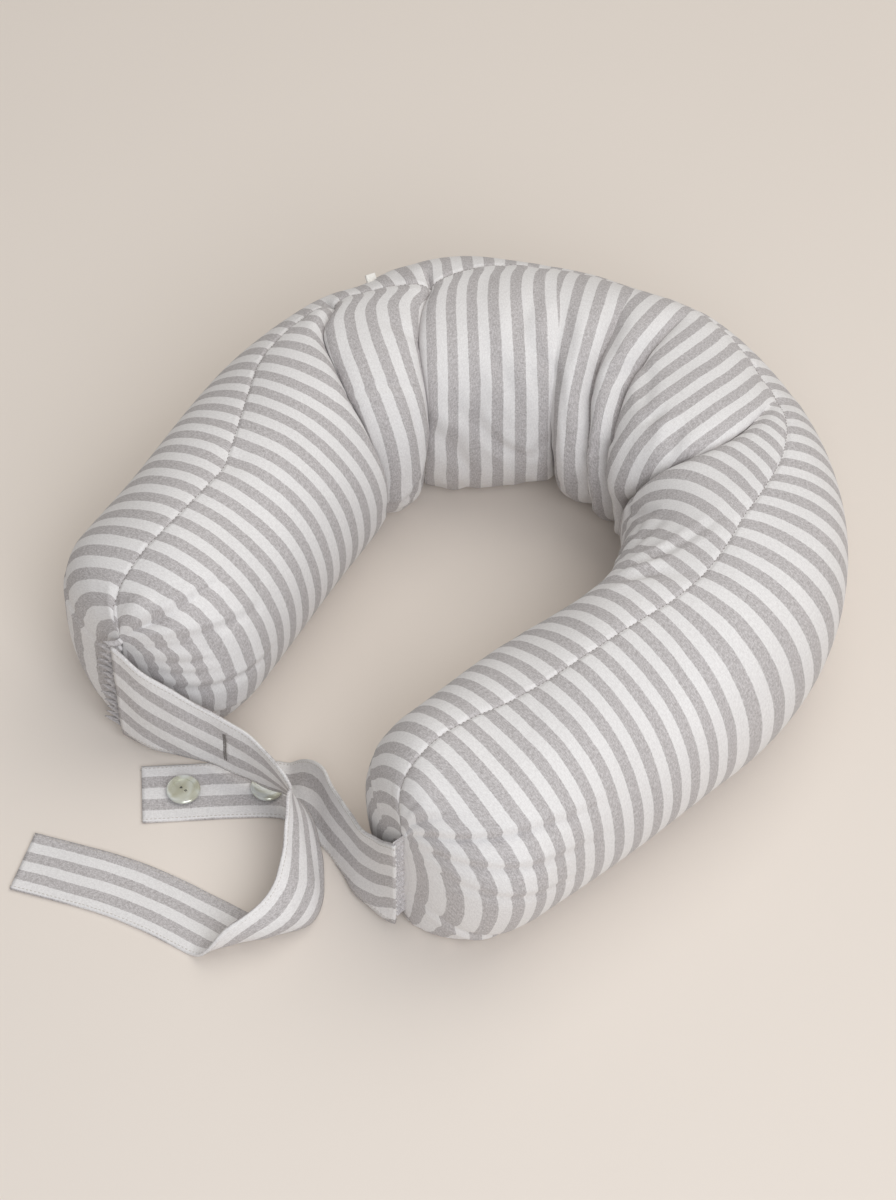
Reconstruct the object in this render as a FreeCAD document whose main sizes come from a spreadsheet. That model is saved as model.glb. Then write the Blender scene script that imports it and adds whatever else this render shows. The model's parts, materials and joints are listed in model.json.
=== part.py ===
import FreeCAD, Part
import math
import os
import Sketcher

# Nursing pillow: a horseshoe-shaped, bead-filled tube lying on the floor.
# Frame: millimetres, +Z up, z = 0 on the floor, back of the U towards +Y, opening towards -Y.
# The left and right halves meet on the plane X = 0.

V = FreeCAD.Vector
UP = V(0, 0, 1)
doc = FreeCAD.newDocument("nursing_pillow")

# ---------------------------------------------------------------- driving dimensions
SIZES = {
    "arc_radius": 178.0,          # centre line of the round back
    "arc_centre_y": 83.75,
    "tube_radius": 82.0,          # stuffed tube
    "tube_height": 76.0,          # tube's centre above the floor
    "toe_in": 10.0,               # degrees each arm closes towards the middle
    "arm_length": 181.0,          # straight stretch of each arm
    "taper_length": 61.0,         # stretch that narrows to the gathered end
    "end_drop": 12.0,             # how far the end's centre sits below the tube's
    "end_half_width": 9.0,
    "end_half_height": 50.0,
    "cover_thickness": 1.6,
    "casing_thickness": 1.2,
    "layer_gap": 0.3,
    "half_gap": 0.3,              # each half stays this far from X = 0
    "panel_gap": 0.2,             # from the seam line to each panel's edge
    "gather_depth": 6.0,
    "gather_width": 10.0,
    "gather_height": 98.0,
    "strap_width": 50.0,
    "strap_thickness": 2.0,
    "buttonhole_length": 27.0,
    "buttonhole_slit": 1.0,
    "buttonhole_band": 2.4,
    "buttonhole_relief": 0.8,
    "button_radius": 12.5,
    "button_thickness": 2.2,
    "dish_radius": 8.5,
    "dish_depth": 0.7,
    "thread_hole_radius": 1.1,
    "thread_hole_pitch": 4.4,
    "shank_radius": 1.8,
    "shank_height": 1.7,
    "tab_width": 8.0,
    "tab_height": 9.0,
    "tab_thickness": 1.8,
    "tape_width": 24.0,
    "tape_thickness": 0.8,
    "teeth_width": 4.4,
    "teeth_height": 1.4,
    "zip_roll": 30.0,             # degrees below the tube's widest line
    "zip_start": 103.0,           # degrees round the back's arc
    "zip_sweep": 66.0,
    "slider_width": 9.0,
    "slider_sweep": 2.8,
    "slider_wall": 1.4,
    "pull_length": 20.0,
    "pull_width": 6.0,
    "pull_thickness": 1.2,
    "bridge_width": 2.4,
    "bridge_height": 2.8,
    "tab_angle": 154.0,           # degrees round the back's arc
    "tab_rise": 48.0,             # degrees above the tube's widest line
    "running_gap": 0.35,
}
sheet = doc.addObject("Spreadsheet::Sheet", "Sizes")
for row, (alias, value) in enumerate(SIZES.items(), start=1):
    sheet.set("A%d" % row, alias)
    sheet.set("B%d" % row, str(value))
    sheet.setAlias("B%d" % row, alias)
doc.recompute()
nodes = {}


def size(alias):
    """Value of one driving dimension."""
    return float(sheet.get(alias))


def bind(item, prop, expression):
    """Tie a property to the sheet; {name} stands for a driving dimension."""
    item.setExpression(prop, expression.replace("{", "Sizes.").replace("}", ""))


def combine(kind, label, base, tool):
    """Cut, Common or Fuse of two objects."""
    item = doc.addObject("Part::" + kind, label)
    item.Base, item.Tool = base, tool
    return item


def fuse_all(label, shapes):
    item = doc.addObject("Part::MultiFuse", label)
    item.Shapes = shapes
    return item


def frame(origin, axis_x, axis_y):
    """Placement whose local X runs along axis_x and local Y as near axis_y as it can."""
    x_way = V(axis_x).normalize()
    z_way = x_way.cross(V(axis_y)).normalize()
    return FreeCAD.Placement(V(origin), FreeCAD.Rotation(x_way, z_way.cross(x_way), z_way, "XYZ"))


def box(label, placement, length, width, height, centred=(True, True, True)):
    """Block with bound sides; centred says which sides straddle the placement's origin."""
    item = doc.addObject("Part::Box", label)
    shift = V()
    for n, (side, expression) in enumerate(zip(("Length", "Width", "Height"), (length, width, height))):
        bind(item, side, expression)
        if centred[n]:
            shift[n] = -total(expression) / 2
    item.Placement = placement.multiply(FreeCAD.Placement(shift, FreeCAD.Rotation()))
    return item


def cylinder(label, placement, radius, height):
    item = doc.addObject("Part::Cylinder", label)
    bind(item, "Radius", radius)
    bind(item, "Height", height)
    item.Placement = placement
    return item


def total(expression):
    """Value of a sum of products of driving dimensions and plain numbers."""
    result = 0.0
    for term in expression.split("+"):
        product = 1.0
        for factor in term.split("*"):
            factor = factor.strip()
            product *= size(factor.strip("{}")) if factor.startswith("{") else float(factor)
        result += product
    return result


def rectangle(label, placement, x_from, x_size, y_size):
    """Sketched rectangle: x starts at x_from, y is centred; all three are expressions."""
    sketch = doc.addObject("Sketcher::SketchObject", label)
    corners = [V(1, -1, 0), V(3, -1, 0), V(3, 1, 0), V(1, 1, 0)]
    for n in range(4):
        sketch.addGeometry(Part.LineSegment(corners[n], corners[(n + 1) % 4]), False)
    rule = Sketcher.Constraint
    for n in range(4):
        sketch.addConstraint(rule("Coincident", n, 2, (n + 1) % 4, 1))
    for n, way in enumerate(("Horizontal", "Vertical", "Horizontal", "Vertical")):
        sketch.addConstraint(rule(way, n))
    width = sketch.addConstraint(rule("DistanceX", 0, 1, 0, 2, 2.0))
    height = sketch.addConstraint(rule("DistanceY", 1, 1, 1, 2, 2.0))
    low = sketch.addConstraint(rule("DistanceY", 0, 1, -1.0))
    start = sketch.addConstraint(rule("DistanceX", 0, 1, 1.0))
    bind(sketch, "Constraints[%d]" % width, x_size)
    bind(sketch, "Constraints[%d]" % height, y_size)
    bind(sketch, "Constraints[%d]" % low, "-(%s) / 2" % y_size)
    bind(sketch, "Constraints[%d]" % start, x_from)
    sketch.Placement = placement
    return sketch


# ---------------------------------------------------------------- the stuffed tube, right half
ARC_CENTRE = V(0, size("arc_centre_y"), 0)
TOE = math.radians(size("toe_in"))
ARM_OUT = V(math.cos(TOE), -math.sin(TOE), 0)      # from the arc's centre to the arm's start
ARM_WAY = V(-math.sin(TOE), -math.cos(TOE), 0)     # along the right arm, towards its end
ARM_START = ARC_CENTRE + ARM_OUT * size("arc_radius") + UP * size("tube_height")
ARM_END = ARM_START + ARM_WAY * (size("arm_length") + size("taper_length")) - UP * size("end_drop")
REACH = 900.0                                      # longer than the whole pillow

# share of the taper's length, of the full half width and of the full half height
TAPER = ((0.0, 1.0, 1.0), (0.3, 0.955, 0.985), (0.6, 0.8, 0.93), (0.82, 0.55, 0.85), (0.95, 0.28, 0.76))


def tube(label, inset):
    """Right half of the stuffed tube, drawn in by inset (an expression) on every side."""
    depth = total(inset)
    torus = doc.addObject("Part::Torus", label + "_back")
    bind(torus, "Radius1", "{arc_radius}")
    bind(torus, "Radius2", "{tube_radius} - (%s)" % inset)
    bind(torus, "Angle3", "90 + {toe_in}")
    torus.Placement = FreeCAD.Placement(ARC_CENTRE + UP * size("tube_height"),
                                        FreeCAD.Rotation(UP, -size("toe_in")))
    arm = cylinder(label + "_arm", frame(ARM_START, UP, ARM_WAY.cross(UP)),
                   "{tube_radius} - (%s)" % inset, "{arm_length}")
    rings = []
    for n, (along, wide, high) in enumerate(TAPER + ((1.0, None, None),)):
        ring = doc.addObject("Part::Ellipse", "%s_ring_%d" % (label, n))
        major = "{tube_radius} * %s" % high if high else "{end_half_height}"
        minor = "{tube_radius} * %s" % wide if wide else "{end_half_width}"
        bind(ring, "MajorRadius", "%s - (%s)" % (major, inset))
        bind(ring, "MinorRadius", "%s - (%s)" % (minor, inset))
        centre = (ARM_START + ARM_WAY * (size("arm_length") + along * (size("taper_length") - depth))
                  - UP * (size("end_drop") * along))
        ring.Placement = frame(centre, UP, ARM_WAY.cross(UP))
        rings.append(ring)
    taper = doc.addObject("Part::Loft", label + "_taper")
    taper.Sections, taper.Solid, taper.Ruled = rings, True, False
    keep = doc.addObject("Part::Box", label + "_keep")
    keep.Length, keep.Width, keep.Height = REACH, REACH, REACH
    keep.Placement.Base = V(size("half_gap") + depth, -REACH / 2, depth)
    return combine("Common", label, fuse_all(label + "_whole", [torus, arm, taper]), keep)


def hollow_side(label, shift):
    """Upright block on the hollow side of the centre line; shift is its wall's move outwards."""
    wall = size("arc_radius") + shift
    top = ARC_CENTRE + V(0, wall, 0)
    quarter = (math.pi / 2 - TOE) / 2
    middle = ARC_CENTRE + V(math.cos(quarter), math.sin(quarter), 0) * wall
    start = ARC_CENTRE + ARM_OUT * wall
    end = start + ARM_WAY * (REACH / 2)
    left = -REACH / 4
    corners = [end, V(left, end.y, 0), V(left, top.y, 0), top]
    edges = [Part.Arc(top, middle, start).toShape(), Part.makeLine(start, end)]
    edges += [Part.makeLine(a, b) for a, b in zip(corners, corners[1:])]
    plan = doc.addObject("Part::Feature", label + "_plan")
    plan.Shape = Part.Wire(edges)
    block = doc.addObject("Part::Extrusion", label)
    block.Base, block.DirMode, block.Dir = plan, "Custom", UP
    block.LengthFwd, block.Solid = REACH / 3, True
    return block


COVER_INSIDE = "{cover_thickness}"
CASING_OUTSIDE = COVER_INSIDE + " + {layer_gap}"
CASING_INSIDE = CASING_OUTSIDE + " + {casing_thickness}"
FILLING_OUTSIDE = CASING_INSIDE + " + {layer_gap}"
cover_shell = combine("Cut", "cover_shell", tube("cover_outside", "0"), tube("cover_inside", COVER_INSIDE))
gather_turn = FreeCAD.Rotation(ARM_OUT, ARM_WAY, UP * -1, "XYZ")
right_parts = {
    "inner_cover": combine("Common", "inner_cover", cover_shell, hollow_side("block", -size("panel_gap"))),
    "outer_cover": combine("Cut", "outer_cover", cover_shell, hollow_side("wide_block", size("panel_gap"))),
    "casing": combine("Cut", "casing", tube("casing_outside", CASING_OUTSIDE),
                      tube("casing_inside", CASING_INSIDE)),
    "bead_filling": tube("bead_filling", FILLING_OUTSIDE),
    "end_gather": box("end_gather", FreeCAD.Placement(ARM_END + ARM_WAY * size("layer_gap"), gather_turn),
                      "{gather_width}", "{gather_depth}", "{gather_height}", (True, False, True)),
}
for name, part in right_parts.items():
    mirror = doc.addObject("Part::Mirroring", name + "_mirror")
    mirror.Source, mirror.Base, mirror.Normal = part, V(), V(1, 0, 0)
    nodes[name + "_right"], nodes[name + "_left"] = part, mirror


# ---------------------------------------------------------------- straps
# the straps' stations suit arms that end here, from the arc's centre; other arms carry them along
LAID_OUT = V(133.273, -269.233, 0)


def station(point):
    """Point of a strap, stretched and moved with the arms' ends."""
    x, y, z = point
    return V(x * ARM_END.x / LAID_OUT.x, ARM_END.y + y - LAID_OUT.y, z)


def ribbon(label, stations, widths):
    """Flat strap through stations of (low edge, high edge), in plan from the arc's centre."""
    pairs = [(station(low), station(high)) for low, high in stations]
    middles = [(low + high) * 0.5 for low, high in pairs]
    frames = []
    sections = []
    for n, (low, high) in enumerate(pairs):
        ahead = middles[min(n + 1, len(middles) - 1)] - middles[max(n - 1, 0)]
        across = V(high - low).normalize()
        frames.append(frame(middles[n], ahead.cross(across), across))
        sections.append(rectangle("%s_section_%d" % (label, n), frames[n], "-{strap_thickness} / 2",
                                  "{strap_thickness}", "{strap_width} * %s" % widths[n]))
    loft = doc.addObject("Part::Loft", label)
    loft.Sections, loft.Solid, loft.Ruled = sections, True, True
    return loft, frames


# left strap: sewn to the left arm's end, stands on edge and crosses over the right strap
LEFT_BASE = (((-132, -278.5, 11), (-133, -278, 112)), ((-110, -276, 11), (-112, -275, 100)),
             ((-88, -269, 11), (-91, -265, 84)), ((-62, -257, 11), (-66, -252, 66)),
             ((-36, -252, 11), (-39, -248, 62)), ((-14, -248, 12), (-11, -251, 62)),
             ((3, -245, 16), (18, -260, 61)))
LEFT_BASE_WIDTHS = (2.04, 1.8, 1.46, 1.12, 1.02, 1.0, 1.0)
# its free end: hangs over the right strap, stands on edge, then lies down
TIE_END = (((5, -246, 16), (20, -261, 61)), ((24, -250, 19), (26, -269, 61)),
           ((42, -258, 13), (37, -284, 56)), ((62, -275, 6), (50, -307, 46)),
           ((77, -293, 3), (57, -323, 42)), ((82, -313, 3), (60, -341, 38)),
           ((68, -331, 3), (55, -363, 32)), ((45, -336, 2.4), (46, -380, 14)),
           ((20, -337, 1.5), (32, -387, 1.5)), ((-22, -344, 1.5), (-7, -394, 1.5)),
           ((-64, -356, 1.5), (-46, -405, 1.5)), ((-124, -381, 1.5), (-104, -428, 1.5)))
# right strap: sewn to the right arm's end, passes under and lies flat
RIGHT_STRAP = (((132, -278.5, 11), (133, -278, 108)), ((112, -278, 8), (113, -272, 90)),
               ((90, -273, 4), (90, -264, 74)), ((68, -264, 3), (66, -252, 61)),
               ((47, -257, 3), (42, -239, 49)), ((29, -252, 3), (20, -226, 38)),
               ((17, -252, 2.8), (-3, -219, 20)), ((8, -255, 1.9), (-20, -219, 3.6)),
               ((0, -260, 1.5), (-31, -223, 1.8)),
               ((-20, -278, 1.5), (-56, -243, 1.5)), ((-70, -325, 1.5), (-105, -289, 1.5)))
RIGHT_STRAP_WIDTHS = (1.96, 1.66, 1.42, 1.22, 1.06, 1.0, 1.0, 1.0, 1.0, 1.0, 1.0)

left_whole, left_frames = ribbon("left_strap_whole", LEFT_BASE, LEFT_BASE_WIDTHS)
nodes["left_strap_tie_end"], tie_frames = ribbon("tie_end", TIE_END, (1.0,) * len(TIE_END))
nodes["right_strap"], right_frames = ribbon("right_strap_loft", RIGHT_STRAP, RIGHT_STRAP_WIDTHS)


def on_strap(frames, n, share):
    """Frame between station n and the next: local X is the face, Y across, Z along the strap."""
    start, end = frames[n], frames[n + 1]

    def blended(way):
        return start.Rotation.multVec(way) * (1 - share) + end.Rotation.multVec(way) * share

    place = frame(V(), blended(V(1, 0, 0)), blended(V(0, 1, 0)))
    place.Base = start.Base + (end.Base - start.Base) * share
    return place


# buttonhole: a slit across the left strap, bordered by raised stitching on its front face
hole = on_strap(left_frames, 3, 0.5)
slit = box("slit", hole, "{strap_thickness} * 8", "{buttonhole_length}", "{buttonhole_slit}")
nodes["left_strap"] = combine("Cut", "left_strap", left_whole, slit)
band = hole.multiply(FreeCAD.Placement(V(size("strap_thickness") / 2 + size("layer_gap"), 0, 0),
                                       FreeCAD.Rotation()))
nodes["buttonhole_stitching"] = combine(
    "Cut", "buttonhole_stitching",
    box("stitch_band", band, "{buttonhole_relief}", "{buttonhole_length} + {buttonhole_band} * 2",
        "{buttonhole_slit} + {buttonhole_band} * 2", (False, True, True)), slit)


# ---------------------------------------------------------------- buttons on the right strap
def button(place, label):
    """Dished shell disc with two thread holes, standing on a thread shank."""
    base = place.multiply(FreeCAD.Placement(V(0, 0, size("strap_thickness") / 2 + size("layer_gap")),
                                            FreeCAD.Rotation()))

    def above(height, sideways=0.0):
        return base.multiply(FreeCAD.Placement(V(sideways, 0, height), FreeCAD.Rotation()))

    shank = cylinder(label + "_shank", above(0), "{shank_radius}", "{shank_height}")
    lift = size("shank_height") + size("layer_gap")
    disc = cylinder(label + "_disc", above(lift), "{button_radius}", "{button_thickness}")
    edge = doc.addObject("Part::Chamfer", label + "_edge")
    edge.Base = disc
    edge.Edges = [(1, 0.6, 0.6), (3, 0.6, 0.6)]
    dish = cylinder(label + "_dish", above(lift + size("button_thickness") - size("dish_depth")),
                    "{dish_radius}", "{dish_depth} * 2")
    holes = [cylinder("%s_hole_%d" % (label, side + 1), above(lift - 1, side * size("thread_hole_pitch") / 2),
                      "{thread_hole_radius}", "{button_thickness} * 2") for side in (-1, 1)]
    body = combine("Cut", label + "_body", edge, fuse_all(label + "_tools", [dish] + holes))
    return body, shank


BUTTON_PLACES = (("near_end", 9, 0.55), ("middle", 8, 0.16))
for name, n, share in BUTTON_PLACES:
    spot = on_strap(right_frames, n, share)
    up_face = spot.Rotation.multVec(V(1, 0, 0))
    up_face = up_face if up_face.z > 0 else up_face * -1
    place = FreeCAD.Placement(spot.Base, FreeCAD.Rotation(V(0, 0, 1), up_face))
    nodes["shell_button_" + name], nodes["button_thread_" + name] = button(place, "button_" + name)


# ---------------------------------------------------------------- pieces on the cover's surface
def on_tube(turn, rise):
    """Frame on the tube at turn round the back and rise up its section: X out, Z along the arc."""
    outwards = FreeCAD.Rotation(UP, turn).multVec(V(1, 0, 0))
    along = FreeCAD.Rotation(UP, turn).multVec(V(0, 1, 0))
    face = outwards * math.cos(math.radians(rise)) + UP * math.sin(math.radians(rise))
    centre = ARC_CENTRE + outwards * size("arc_radius") + UP * size("tube_height")
    return FreeCAD.Placement(centre + face * size("tube_radius"),
                             FreeCAD.Rotation(face, along.cross(face), along, "XYZ"))


def moved(place, out, along=0.0):
    return place.multiply(FreeCAD.Placement(V(out, 0, along), FreeCAD.Rotation()))


# folded tape loop sewn into the top seam
tab_place = on_tube(size("tab_angle"), size("tab_rise"))
tab = box("tab", moved(tab_place, size("layer_gap")), "{tab_height}", "{tab_thickness}", "{tab_width}",
          (False, True, True))
tab_gap = box("tab_gap", moved(tab_place, 0), "{tab_height} * 0.85", "{tab_thickness} * 0.4",
              "{tab_width} * 2", (False, True, True))
nodes["seam_tab"] = combine("Cut", "seam_tab", tab, tab_gap)


def strip(label, start, sweep, out_from, out_size, width):
    """Strip of rectangular section swept round the back's arc."""
    sketch = rectangle(label + "_section", on_tube(start, -size("zip_roll")), out_from, out_size, width)
    swept = doc.addObject("Part::Revolution", label)
    swept.Source, swept.Axis, swept.Base = sketch, UP, ARC_CENTRE
    bind(swept, "Angle", sweep)
    swept.Solid = True
    return swept


ZIP_START = size("zip_start")
TAPE_FROM = "{layer_gap}"
TEETH_FROM = TAPE_FROM + " + {tape_thickness} + {layer_gap} * 0.5"
TEETH_TOP = TEETH_FROM + " + {teeth_height}"
SLIDER_FROM = TEETH_FROM + " + {running_gap}"
SLIDER_DEPTH = "{teeth_height} + {slider_wall}"
STOP_SWEEP = 0.6
SLIDER_START = ZIP_START + STOP_SWEEP * 2
nodes["zip_tape"] = strip("zip_tape", ZIP_START - 2, "{zip_sweep} + 4", TAPE_FROM,
                          "{tape_thickness}", "{tape_width}")
nodes["zip_teeth"] = strip("zip_teeth", ZIP_START + STOP_SWEEP, "{zip_sweep} - %s" % (2 * STOP_SWEEP),
                           TEETH_FROM, "{teeth_height}", "{teeth_width}")
stops = [strip("zip_stop_%d" % n, at, "1 * %s" % (STOP_SWEEP * 0.8), TEETH_FROM, "{teeth_height} * 1.5",
               "{teeth_width} * 1.6")
         for n, at in enumerate((ZIP_START, ZIP_START + size("zip_sweep") - STOP_SWEEP * 0.8))]
nodes["zip_stops"] = fuse_all("zip_stops", stops)
shell = strip("slider_shell", SLIDER_START, "{slider_sweep}", SLIDER_FROM, SLIDER_DEPTH, "{slider_width}")
channel = strip("slider_channel", SLIDER_START - 1, "{slider_sweep} + 2", "{layer_gap} * 0",
                TEETH_TOP + " + {running_gap}", "{teeth_width} + {running_gap} * 2")
slider_top = total(SLIDER_FROM + " + " + SLIDER_DEPTH)
slider_middle = on_tube(SLIDER_START + size("slider_sweep") / 2, -size("zip_roll"))
bridge = box("slider_bridge", moved(slider_middle, slider_top - 0.3), "{bridge_height} + 0.3",
             "{bridge_width}", "{bridge_width}", (False, True, True))
nodes["zip_slider"] = combine("Fuse", "zip_slider", combine("Cut", "slider_body", shell, channel), bridge)

# pull tab: a fork straddling the slider's bridge, turning about the bridge's middle
PULL_AXIS = slider_top + size("bridge_height") * 0.62
PULL_HEEL = 1.2
fork = moved(slider_middle, PULL_AXIS, -PULL_HEEL)
plate = box("pull_plate", fork, "{pull_thickness}", "{pull_width}", "{pull_length}", (True, True, False))
notch = box("pull_notch", moved(slider_middle, PULL_AXIS, -PULL_HEEL * 2), "{pull_thickness} * 4",
            "{bridge_width} + {running_gap} * 2", "{bridge_width} * 0.5 + {running_gap} * 2 + 2.4",
            (True, True, False))
nodes["zip_pull"] = combine("Cut", "zip_pull", plate, notch)

# ---------------------------------------------------------------- check and write
doc.recompute()
faulty = [item.Name for item in doc.Objects if {"Invalid", "Error"} & set(item.State)]
if faulty:
    raise RuntimeError("objects that failed: " + ", ".join(faulty))
os.makedirs("parts", exist_ok=True)
for name, item in nodes.items():
    item.Label = name
    shape = item.Shape
    if shape.isNull() or not shape.isValid() or not shape.Solids:
        raise RuntimeError("no valid solid in " + name)
    shape.exportStep("parts/%s.step" % name)
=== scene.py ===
"""Nursing pillow: a bead-filled horseshoe tube in striped linen with two tie straps and shell buttons.

Sizes are in millimetres in the classes and turn to metres when a mesh is made.
Frame: +Z up from the floor, +Y towards the round back, -Y towards the opening and the straps.
"""
import json
import logging
import math
from dataclasses import dataclass, field
from enum import Enum
from typing import Dict, List, Optional, Sequence, Tuple

import bpy
import numpy as np
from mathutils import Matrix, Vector

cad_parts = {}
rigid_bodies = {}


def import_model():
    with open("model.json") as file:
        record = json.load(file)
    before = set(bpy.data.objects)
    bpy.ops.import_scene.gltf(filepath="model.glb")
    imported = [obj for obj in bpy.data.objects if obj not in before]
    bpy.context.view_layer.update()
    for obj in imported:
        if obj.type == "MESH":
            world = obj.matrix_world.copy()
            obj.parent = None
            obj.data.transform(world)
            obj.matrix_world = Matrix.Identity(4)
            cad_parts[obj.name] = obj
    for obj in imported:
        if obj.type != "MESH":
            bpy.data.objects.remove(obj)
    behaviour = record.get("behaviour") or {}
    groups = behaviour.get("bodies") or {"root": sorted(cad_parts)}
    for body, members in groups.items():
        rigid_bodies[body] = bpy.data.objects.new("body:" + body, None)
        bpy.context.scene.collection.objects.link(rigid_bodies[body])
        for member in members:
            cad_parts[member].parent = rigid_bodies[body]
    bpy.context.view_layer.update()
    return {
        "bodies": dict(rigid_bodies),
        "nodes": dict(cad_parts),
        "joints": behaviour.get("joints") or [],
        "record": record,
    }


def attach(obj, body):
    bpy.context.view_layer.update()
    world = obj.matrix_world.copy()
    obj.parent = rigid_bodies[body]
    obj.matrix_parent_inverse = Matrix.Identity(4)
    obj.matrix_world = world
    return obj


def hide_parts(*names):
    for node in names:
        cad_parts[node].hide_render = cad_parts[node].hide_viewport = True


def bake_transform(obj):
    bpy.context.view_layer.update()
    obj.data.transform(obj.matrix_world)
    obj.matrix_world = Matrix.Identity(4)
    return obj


LOG = logging.getLogger("nursing_pillow")
MM = 0.001
SEED = 41
Point = Tuple[float, float, float]
Array = np.ndarray


# ---------------------------------------------------------------- small tools
def linear(code: str) -> Tuple[float, float, float, float]:
    """Turn an sRGB hex colour into linear RGBA.

    Args:
        code: six hex digits.

    Returns:
        Linear red, green, blue and an alpha of 1.
    """
    channels = [int(code[i:i + 2], 16) / 255 for i in (0, 2, 4)]
    curve = [c / 12.92 if c <= 0.04045 else ((c + 0.055) / 1.055) ** 2.4 for c in channels]
    return (*curve, 1.0)


def ease(value: Array) -> Array:
    """Smooth 0..1 ramp of a value clipped to 0..1."""
    clipped = np.clip(value, 0.0, 1.0)
    return clipped * clipped * (3 - 2 * clipped)


def through(x: Array, knots: Sequence[Tuple[float, float]]) -> Array:
    """Smooth curve through knots, flat beyond them.

    Args:
        x: where to read the curve.
        knots: (position, value) pairs in rising position.

    Returns:
        The curve's values, without overshoot between the knots.
    """
    xs, ys = (np.array(column, float) for column in zip(*knots))
    rise = np.diff(ys) / np.diff(xs)
    slope = np.zeros_like(ys)
    inner = rise[:-1] * rise[1:] > 0
    slope[1:-1][inner] = 2 * rise[:-1][inner] * rise[1:][inner] / (rise[:-1] + rise[1:])[inner]
    x = np.clip(np.asarray(x, float), xs[0], xs[-1])
    k = np.clip(np.searchsorted(xs, x, side="right") - 1, 0, len(xs) - 2)
    width = xs[k + 1] - xs[k]
    t = (x - xs[k]) / width
    return (ys[k] * (1 + 2 * t) * (1 - t) ** 2 + slope[k] * width * t * (1 - t) ** 2
            + ys[k + 1] * t * t * (3 - 2 * t) + slope[k + 1] * width * t * t * (t - 1))


def spline(points: Sequence[Point], at: Array) -> Array:
    """Centripetal-like cubic through points.

    Args:
        points: stations in space.
        at: positions from 0 to len(points) - 1.

    Returns:
        One row of x, y, z for each position.
    """
    p = np.array(points, float)
    ends = np.vstack([2 * p[0] - p[1], p, 2 * p[-1] - p[-2]])
    k = np.clip(np.floor(at).astype(int), 0, len(p) - 2)
    t = (at - k)[:, None]
    a, b, c, d = ends[k], ends[k + 1], ends[k + 2], ends[k + 3]
    return 0.5 * (2 * b + (c - a) * t + (2 * a - 5 * b + 4 * c - d) * t ** 2
                  + (3 * b - a - 3 * c + d) * t ** 3)


def unit(rows: Array) -> Array:
    """Rows scaled to length 1."""
    return rows / np.maximum(np.linalg.norm(rows, axis=-1, keepdims=True), 1e-9)


def make_mesh(name: str, vertices: Array, faces: Sequence[Sequence[int]],
              uv: Optional[Array] = None, smooth: bool = True) -> bpy.types.Object:
    """Make a mesh object.

    Args:
        name: the piece's name.
        vertices: points in millimetres.
        faces: vertex numbers of each face.
        uv: one row of cloth coordinates in millimetres for each face corner.
        smooth: shade the faces smooth.

    Returns:
        The object, linked to the scene, at the origin.
    """
    mesh = bpy.data.meshes.new(name)
    mesh.from_pydata((np.asarray(vertices, float) * MM).tolist(), [], [list(f) for f in faces])
    if uv is not None:
        layer = mesh.uv_layers.new(name="cloth")
        layer.data.foreach_set("uv", (np.asarray(uv, float) * MM).astype(np.float32).ravel())
    mesh.polygons.foreach_set("use_smooth", [smooth] * len(mesh.polygons))
    mesh.update()
    piece = bpy.data.objects.new(name, mesh)
    bpy.context.scene.collection.objects.link(piece)
    return piece


def grid_quads(rows: int, columns: int, flip: bool = False) -> List[List[int]]:
    """Faces between neighbouring points of a grid.

    Args:
        rows: number of rows of points.
        columns: number of points in each row.
        flip: turn the faces over.

    Returns:
        Four vertex numbers for each face.
    """
    index = np.arange(rows * columns).reshape(rows, columns)
    corners = [index[:-1, :-1], index[1:, :-1], index[1:, 1:], index[:-1, 1:]]
    if flip:
        corners = [corners[0], corners[3], corners[2], corners[1]]
    return np.stack(corners, -1).reshape(-1, 4).tolist()


def capped_tube(ring: Array, hubs: Sequence[Array]) -> Tuple[Array, List[List[int]]]:
    """Closed tube through rings of points, with a fan to a hub at each end.

    Args:
        ring: points, one row for each ring.
        hubs: the middle of the first and of the last ring.

    Returns:
        All points and the faces' vertex numbers, first the sides, then the first and the last fan.
    """
    columns, girth = ring.shape[:2]
    index = np.arange(columns * girth).reshape(columns, girth)
    index = np.concatenate([index, index[:, :1]], 1)
    quads = np.stack([index[:-1, :-1], index[:-1, 1:], index[1:, 1:], index[1:, :-1]], -1)
    faces = quads.reshape(-1, 4).tolist()
    for end, last in ((0, False), (columns - 1, True)):
        hub = columns * girth + int(last)
        for a, b in zip(index[end, :-1].tolist(), index[end, 1:].tolist()):
            faces.append([hub, a, b] if last else [hub, b, a])
    return np.vstack([ring.reshape(-1, 3), *hubs]), faces


def applied(piece: bpy.types.Object) -> bpy.types.Object:
    """Turn a piece's live modifiers into its plain mesh and remove them."""
    bpy.context.view_layer.update()
    result = bpy.data.meshes.new_from_object(piece.evaluated_get(bpy.context.evaluated_depsgraph_get()))
    piece.modifiers.clear()
    piece.data = result
    result.name = piece.name
    return piece


def thickened(piece: bpy.types.Object, thickness: float) -> bpy.types.Object:
    """Give a surface a thickness in millimetres, half on each side, with closed edges."""
    wall = piece.modifiers.new("wall", "SOLIDIFY")
    wall.thickness, wall.offset, wall.use_even_offset = thickness * MM, 0.0, False
    return applied(piece)


def dress(piece: bpy.types.Object, material: bpy.types.Material) -> None:
    """Give every face of a piece one material."""
    piece.data.materials.clear()
    piece.data.materials.append(material)


# ---------------------------------------------------------------- finishes
def add(tree: bpy.types.NodeTree, kind: str, links: Optional[Dict] = None,
        values: Optional[Dict] = None, **settings) -> bpy.types.Node:
    """Add a node with its settings, values and links.

    Args:
        tree: the node tree.
        kind: the node's type.
        links: input name or number to output socket.
        values: input name or number to plain value.
        settings: the node's own properties.

    Returns:
        The new node.
    """
    node = tree.nodes.new(kind)
    for key, value in settings.items():
        setattr(node, key, value)
    for key, value in (values or {}).items():
        node.inputs[key].default_value = value
    for key, socket in (links or {}).items():
        tree.links.new(socket, node.inputs[key])
    return node


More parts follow.
